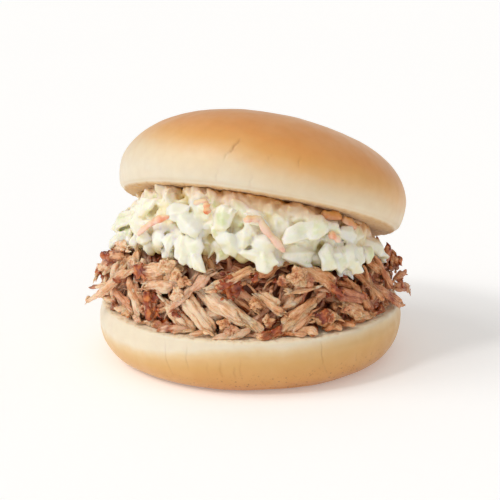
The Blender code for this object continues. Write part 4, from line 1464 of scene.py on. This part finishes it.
def lay_leaves(batch, count):
    """Bits of cabbage all over the slaw's side, turned every way, larger low down than at the crown."""
    for draw, angle, share in spread_round(count, SEEDS["leaves"], SLAW_HEAP, rows=6):
        front = 0.0008 * max(0.0, -math.sin(angle))
        inset = draw.uniform(-0.0026, 0.0010) - front
        place, outward, round_it = slaw_place(angle, 0.10 + 0.89 * share, inset)
        length = (0.0110 - 0.0035 * share) * draw.uniform(0.75, 1.3)
        if in_pit(place, room=0.25 * length):
            continue
        turn, flare = draw.gauss(-60.0, 60.0), draw.gauss(4.0, 14.0)
        tilt, aside = draw.gauss(25.0, 20.0), draw.gauss(0.0, 0.5)
        along = lean(lean(round_it, UP, turn), outward, flare)
        normal = unit(lean(outward, UP, tilt) + round_it * aside)
        width = length * draw.uniform(0.32, 0.75)
        corners, tint = draw.choice((4, 5, 6, 7)), draw.random() ** 2.5
        add_leaf(draw, batch, place, along, normal, length, width, corners, tint, clearance=0.0012,
                 cup=(-0.4, 1.4), hang=0.0012)


def base_bit(draw, batch, place, outward, round_it):
    """A thick bit for the creamy mass between the leaves."""
    turn, tilt = draw.gauss(-30.0, 50.0), draw.gauss(15.0, 20.0)
    along = unit(lean(round_it, UP, turn) + outward * draw.uniform(-0.2, 0.4))
    normal = unit(lean(outward, UP, tilt) + round_it * draw.uniform(-0.4, 0.4))
    sizes = [draw.uniform(*ends) for ends in BASE_BIT_SIZES]
    points = leaf_plate(draw, place, along, normal, *sizes, draw.choice((4, 5, 6)), sectors=20)[0]
    points = raised(points, hang=0.0010)
    batch.add_tube(points, leaf=capped(points) / MM, bare=0.0)


def lay_base_bits(batch, count, seed, lowest, highest):
    """The creamy mass between two shares of the slaw's height."""
    for draw, angle, share in spread_round(count, seed, SLAW_HEAP, rows=6):
        height = lowest + (highest - lowest) * share
        place, outward, round_it = slaw_place(angle, height, draw.uniform(-0.0040, -0.0010))
        if not in_pit(place, room=-0.0004):
            base_bit(draw, batch, place, outward, round_it)


# Carrot at the front: degrees and height of the two ends, how far out they are and width, in mm; then how
# pink with cream it is
FRONT_CARROTS = (
    (-142.5, 51.5, -124.0, 61.2, 4.6, 2.4, 0.3),
    (-86.6, 62.2, -76.6, 49.4, 5.0, 2.8, 1.0),
    (-92.6, 61.2, -85.2, 62.2, 4.6, 2.4, 0.5),
    (-107.6, 67.0, -107.0, 62.6, 4.0, 2.4, 0.3),
    (-57.5, 61.8, -45.5, 59.2, 3.4, 3.6, 0.0),
    (-45.6, 57.8, -37.6, 53.6, 3.6, 2.8, 0.6),
    (-57.0, 54.8, -51.5, 51.2, 4.2, 2.6, 0.4),
    (-117.0, 65.5, -108.5, 66.0, 0.6, 2.2, 0.6),
)


def carrot_shred(draw, batch, start, end, width, pink):
    middle, line = (start + end) / 2.0, end - start
    outward = unit(middle * np.array((1.0, 1.0, 0.2)))
    length = float(np.linalg.norm(line))
    torn_strip(draw, batch, middle, unit(line), outward, length, width, 0.6, CARROT_SHAPE, rings=20,
               sides=14, strands=1, ragged=0.0, splay=0.0, sag=0.05, bow=0.08, twist=0.8, rough=0.8,
               blunt=0.5, tone=draw.random(), pink=pink)


def lay_carrots(batch, count):
    """The carrot at the front, and shreds scattered over the rest of the slaw."""
    draw = random.Random(SEEDS["front_carrots"])
    for *places, out, width, pink in FRONT_CARROTS:
        ends = []
        for degrees, height in (places[:2], places[2:]):
            angle = math.radians(degrees)
            ends.append(slaw_place(angle, slaw_share(angle, height * MM), out * MM)[0])
        carrot_shred(draw, batch, *ends, width * MM, pink)
    for draw, angle, share in spread_round(count, SEEDS["carrots"], SLAW_HEAP, rows=5):
        if -170.0 < math.degrees(angle) - 360.0 < -25.0:
            continue
        place, _outward, round_it = slaw_place(angle, share * 0.95, draw.uniform(0.0008, 0.0026))
        half = lean(round_it, UP, draw.gauss(-30.0, 50.0)) * draw.uniform(0.002, 0.006)
        carrot_shred(draw, batch, place - half, place + half, draw.uniform(0.0019, 0.0027), draw.random())


def fused(obj, voxel, keep, smoothing, keys=()):
    """One soft skin over everything in the mesh, as dressing runs the bits together. keep is the share of
    its faces that stay. The keys' values carry over."""
    mesh = obj.data
    tree = KDTree(len(mesh.vertices))
    for number, place in enumerate(positions(mesh).tolist()):
        tree.insert(place, number)
    tree.balance()
    skin = obj.modifiers.new("Dressing", "REMESH")
    skin.mode = "VOXEL"
    skin.voxel_size = voxel
    soften = obj.modifiers.new("Soften", "SMOOTH")
    soften.factor = 0.5
    soften.iterations = smoothing
    thin = obj.modifiers.new("Fewer_faces", "DECIMATE")
    thin.ratio = keep
    bpy.context.view_layer.update()
    evaluated = obj.evaluated_get(bpy.context.evaluated_depsgraph_get())
    made = bpy.data.meshes.new_from_object(evaluated)
    obj.modifiers.clear()
    obj.data = made
    nearest = np.array([tree.find(place)[1] for place in positions(made).tolist()])
    for key in keys:
        if key in made.attributes:
            made.attributes.remove(made.attributes[key])
        add_values(made, {key: values_of(mesh, key)[nearest]})
    made.shade_smooth()
    return obj


def slaw_depth(points):
    """How far inside the heap's outline each point lies, from 0 on the outside to 1 in a deep pit."""
    angle, radius = round_axis(points)
    x, y, z = points.T
    share = share_of(pork_top_z(x, y), crown_face_z(x, y), z)
    return np.clip((slaw_skin(angle, share) + OUTER_LAYER - radius) / PIT_DEPTH, 0.0, 1.0)


def under_crown(points):
    """1 at the crown's cut face and 0 from some way below it, out of its shade; less on the lit left."""
    x, y, z = points.T
    share = 1.0 - smoothstep(0.0, CROWN_SHADE, dough_face_z(x, y) - z)
    return share * (0.45 + 0.55 * smoothstep(-0.032, 0.004, x))


def shade_slaw(paint, colour):
    """Painted shade: yellow on faces that look down and in the gaps, olive deep in them, brown under the
    crown."""
    depth = paint.attribute("depth")
    back = paint.spread(depth, 0.05, 0.50, 0.78, 1.0)
    painted_crown_shade = paint.math("MULTIPLY", paint.attribute("under"), back)
    # Painted shade on faces that look down, in the gaps, deepest in them, and in the crown's shade
    return paint.coat(
        colour,
        (paint.math("MULTIPLY", paint.attribute("beneath"), 0.55), 240, 226, 168),
        (paint.spread(depth, 0.20, 0.70, 0.0, 0.75), 244, 222, 134),
        (paint.spread(depth, 0.70, 1.0, 0.0, 0.85), 190, 138, 40),
        (paint.math("MULTIPLY", painted_crown_shade, 0.95), 204, 138, 40),
    )


def slaw_material():
    """Cabbage in dressing: pale green in the middle of a leaf, cream between and on the edges."""
    paint = Paint("slaw_dressed")
    place = paint.place()
    soft = paint.grain(place, 130.0)
    fine = paint.grain(place, 450.0)
    veins = paint.grain(paint.attribute("leaf", "Vector"), 0.22)
    cream = paint.ramp(soft, (0.35, 253, 247, 236), (0.65, 248, 242, 221))
    green = paint.ramp(veins, (0.35, 234, 239, 208), (0.65, 213, 222, 166))
    bare = paint.math("MULTIPLY", paint.attribute("bare"), paint.spread(veins, 0.35, 0.60, 0.5, 1.3))
    colour = shade_slaw(paint, paint.blend(bare, cream, green))
    normal = paint.bump(paint.total((soft, 1.0), (fine, 0.5)), distance=0.0004, strength=0.5)
    return paint.finish(colour, paint.spread(fine, 0.3, 0.7, 0.26, 0.42), normal,
                        flesh=(0.6, 0.0030, (1.0, 0.80, 0.40)), Specular_IOR_Level=0.45)


def carrot_material():
    """Grated carrot: orange, salmon where the dressing coats it."""
    paint = Paint("carrot")
    fibres = paint.grain(paint.attribute("grain", "Vector"), 1.6)
    colour = paint.ramp(fibres, (0.35, 228, 118, 66), (0.65, 244, 158, 104))
    cream = paint.spread(paint.grain(paint.place(), 260.0), 0.35, 0.65, -0.35, 0.9)
    cream = paint.math("ADD", cream, paint.attribute("pink"))
    colour = paint.coat(colour, (paint.spread(cream, 0.0, 1.2, 0.0, 0.88), 250, 218, 198))
    rough = paint.spread(fibres, 0.3, 0.7, 0.28, 0.42)
    normal = paint.bump(fibres, distance=0.0003, strength=0.5)
    return paint.finish(shade_slaw(paint, colour), rough, normal, flesh=(0.2, 0.0015, (1.0, 0.5, 0.2)),
                        Specular_IOR_Level=0.45)


def finish_slaw(piece, material):
    points = positions(piece.data)
    # Masks for the slaw's painted shade: faces that look down, depth in the heap and the crown's shade
    beneath = smoothstep(0.1, -0.7, read(piece.data.vertices, "normal")[:, 2])
    add_values(piece.data, {"depth": slaw_depth(points), "under": under_crown(points), "beneath": beneath})
    dress(piece, material, "slaw", "coleslaw")


def make_slaw():
    base, carrots = Batch(), Batch()
    lay_base_bits(base, count=380, seed=73, lowest=0.0, highest=0.98)
    lay_base_bits(base, count=110, seed=79, lowest=0.84, highest=1.05)
    core, faces = heap_core(SLAW_HEAP, inset=0.0052, relief=0.0006, seed=4.0, top=0.0004)
    base.add(core, *faces, leaf=core / MM, bare=0.0)
    lay_front_leaves(base)
    lay_leaves(base, count=240)
    dressed = fused(base.build("slaw_dressed"), SLAW_VOXEL, keep=0.42, smoothing=1, keys=("leaf", "bare"))
    finish_slaw(dressed, slaw_material())
    lay_carrots(carrots, count=46)
    finish_slaw(carrots.build("slaw_carrot"), carrot_material())


# --- Stage ---


def aim(obj, target):
    obj.rotation_euler = (target - obj.location).to_track_quat("-Z", "Y").to_euler()


def add_camera():
    camera = add_object("Camera", bpy.data.cameras.new("Camera"))
    away = Vector((0.0, -math.cos(CAMERA_ELEVATION), math.sin(CAMERA_ELEVATION)))
    camera.location = CAMERA_PIVOT + away * CAMERA_DISTANCE
    camera.data.lens = CAMERA_LENS
    camera.data.sensor_width = 36.0
    camera.data.clip_start = 0.01
    aim(camera, CAMERA_AIM)
    bpy.context.scene.camera = camera


def add_sun(name, place, strength, softness):
    light = add_object(name, bpy.data.lights.new(name, "SUN"))
    light.location = place
    light.data.energy = strength
    light.data.angle = math.radians(softness)
    light.data.color = LIGHT_TINT
    aim(light, Vector((0.0, 0.0, 0.0)))


def add_floor():
    grid = bmesh.new()
    bmesh.ops.create_grid(grid, x_segments=8, y_segments=8, size=6.0)
    mesh = bpy.data.meshes.new("floor")
    grid.to_mesh(mesh)
    grid.free()
    floor = add_object("floor", mesh)
    paint = Paint("floor_white")
    tone = paint.spread(paint.grain(paint.place(), 3.0), 0.0, 1.0, 0.96, 0.98)
    colour = paint.node("CombineColor", None, Red=tone, Green=tone, Blue=tone).outputs["Color"]
    floor.data.materials.append(paint.finish(colour, 0.9, Specular_IOR_Level=0.1,
                                             Emission_Color=(1.0, 1.0, 1.0, 1.0),
                                             Emission_Strength=FLOOR_GLOW))


def add_world():
    world = bpy.data.worlds.new("Studio")
    world.use_nodes = True
    back = world.node_tree.nodes["Background"]
    back.inputs["Color"].default_value = SKY_TINT
    back.inputs["Strength"].default_value = SKY_STRENGTH
    bpy.context.scene.world = world


def make_stage():
    add_world()
    add_floor()
    add_camera()
    for name, light in LIGHTS.items():
        add_sun(name, *light)
    bpy.context.scene.view_settings.view_transform = "Standard"


make_stage()
make_crown()
make_heel()
make_pork()
make_slaw()
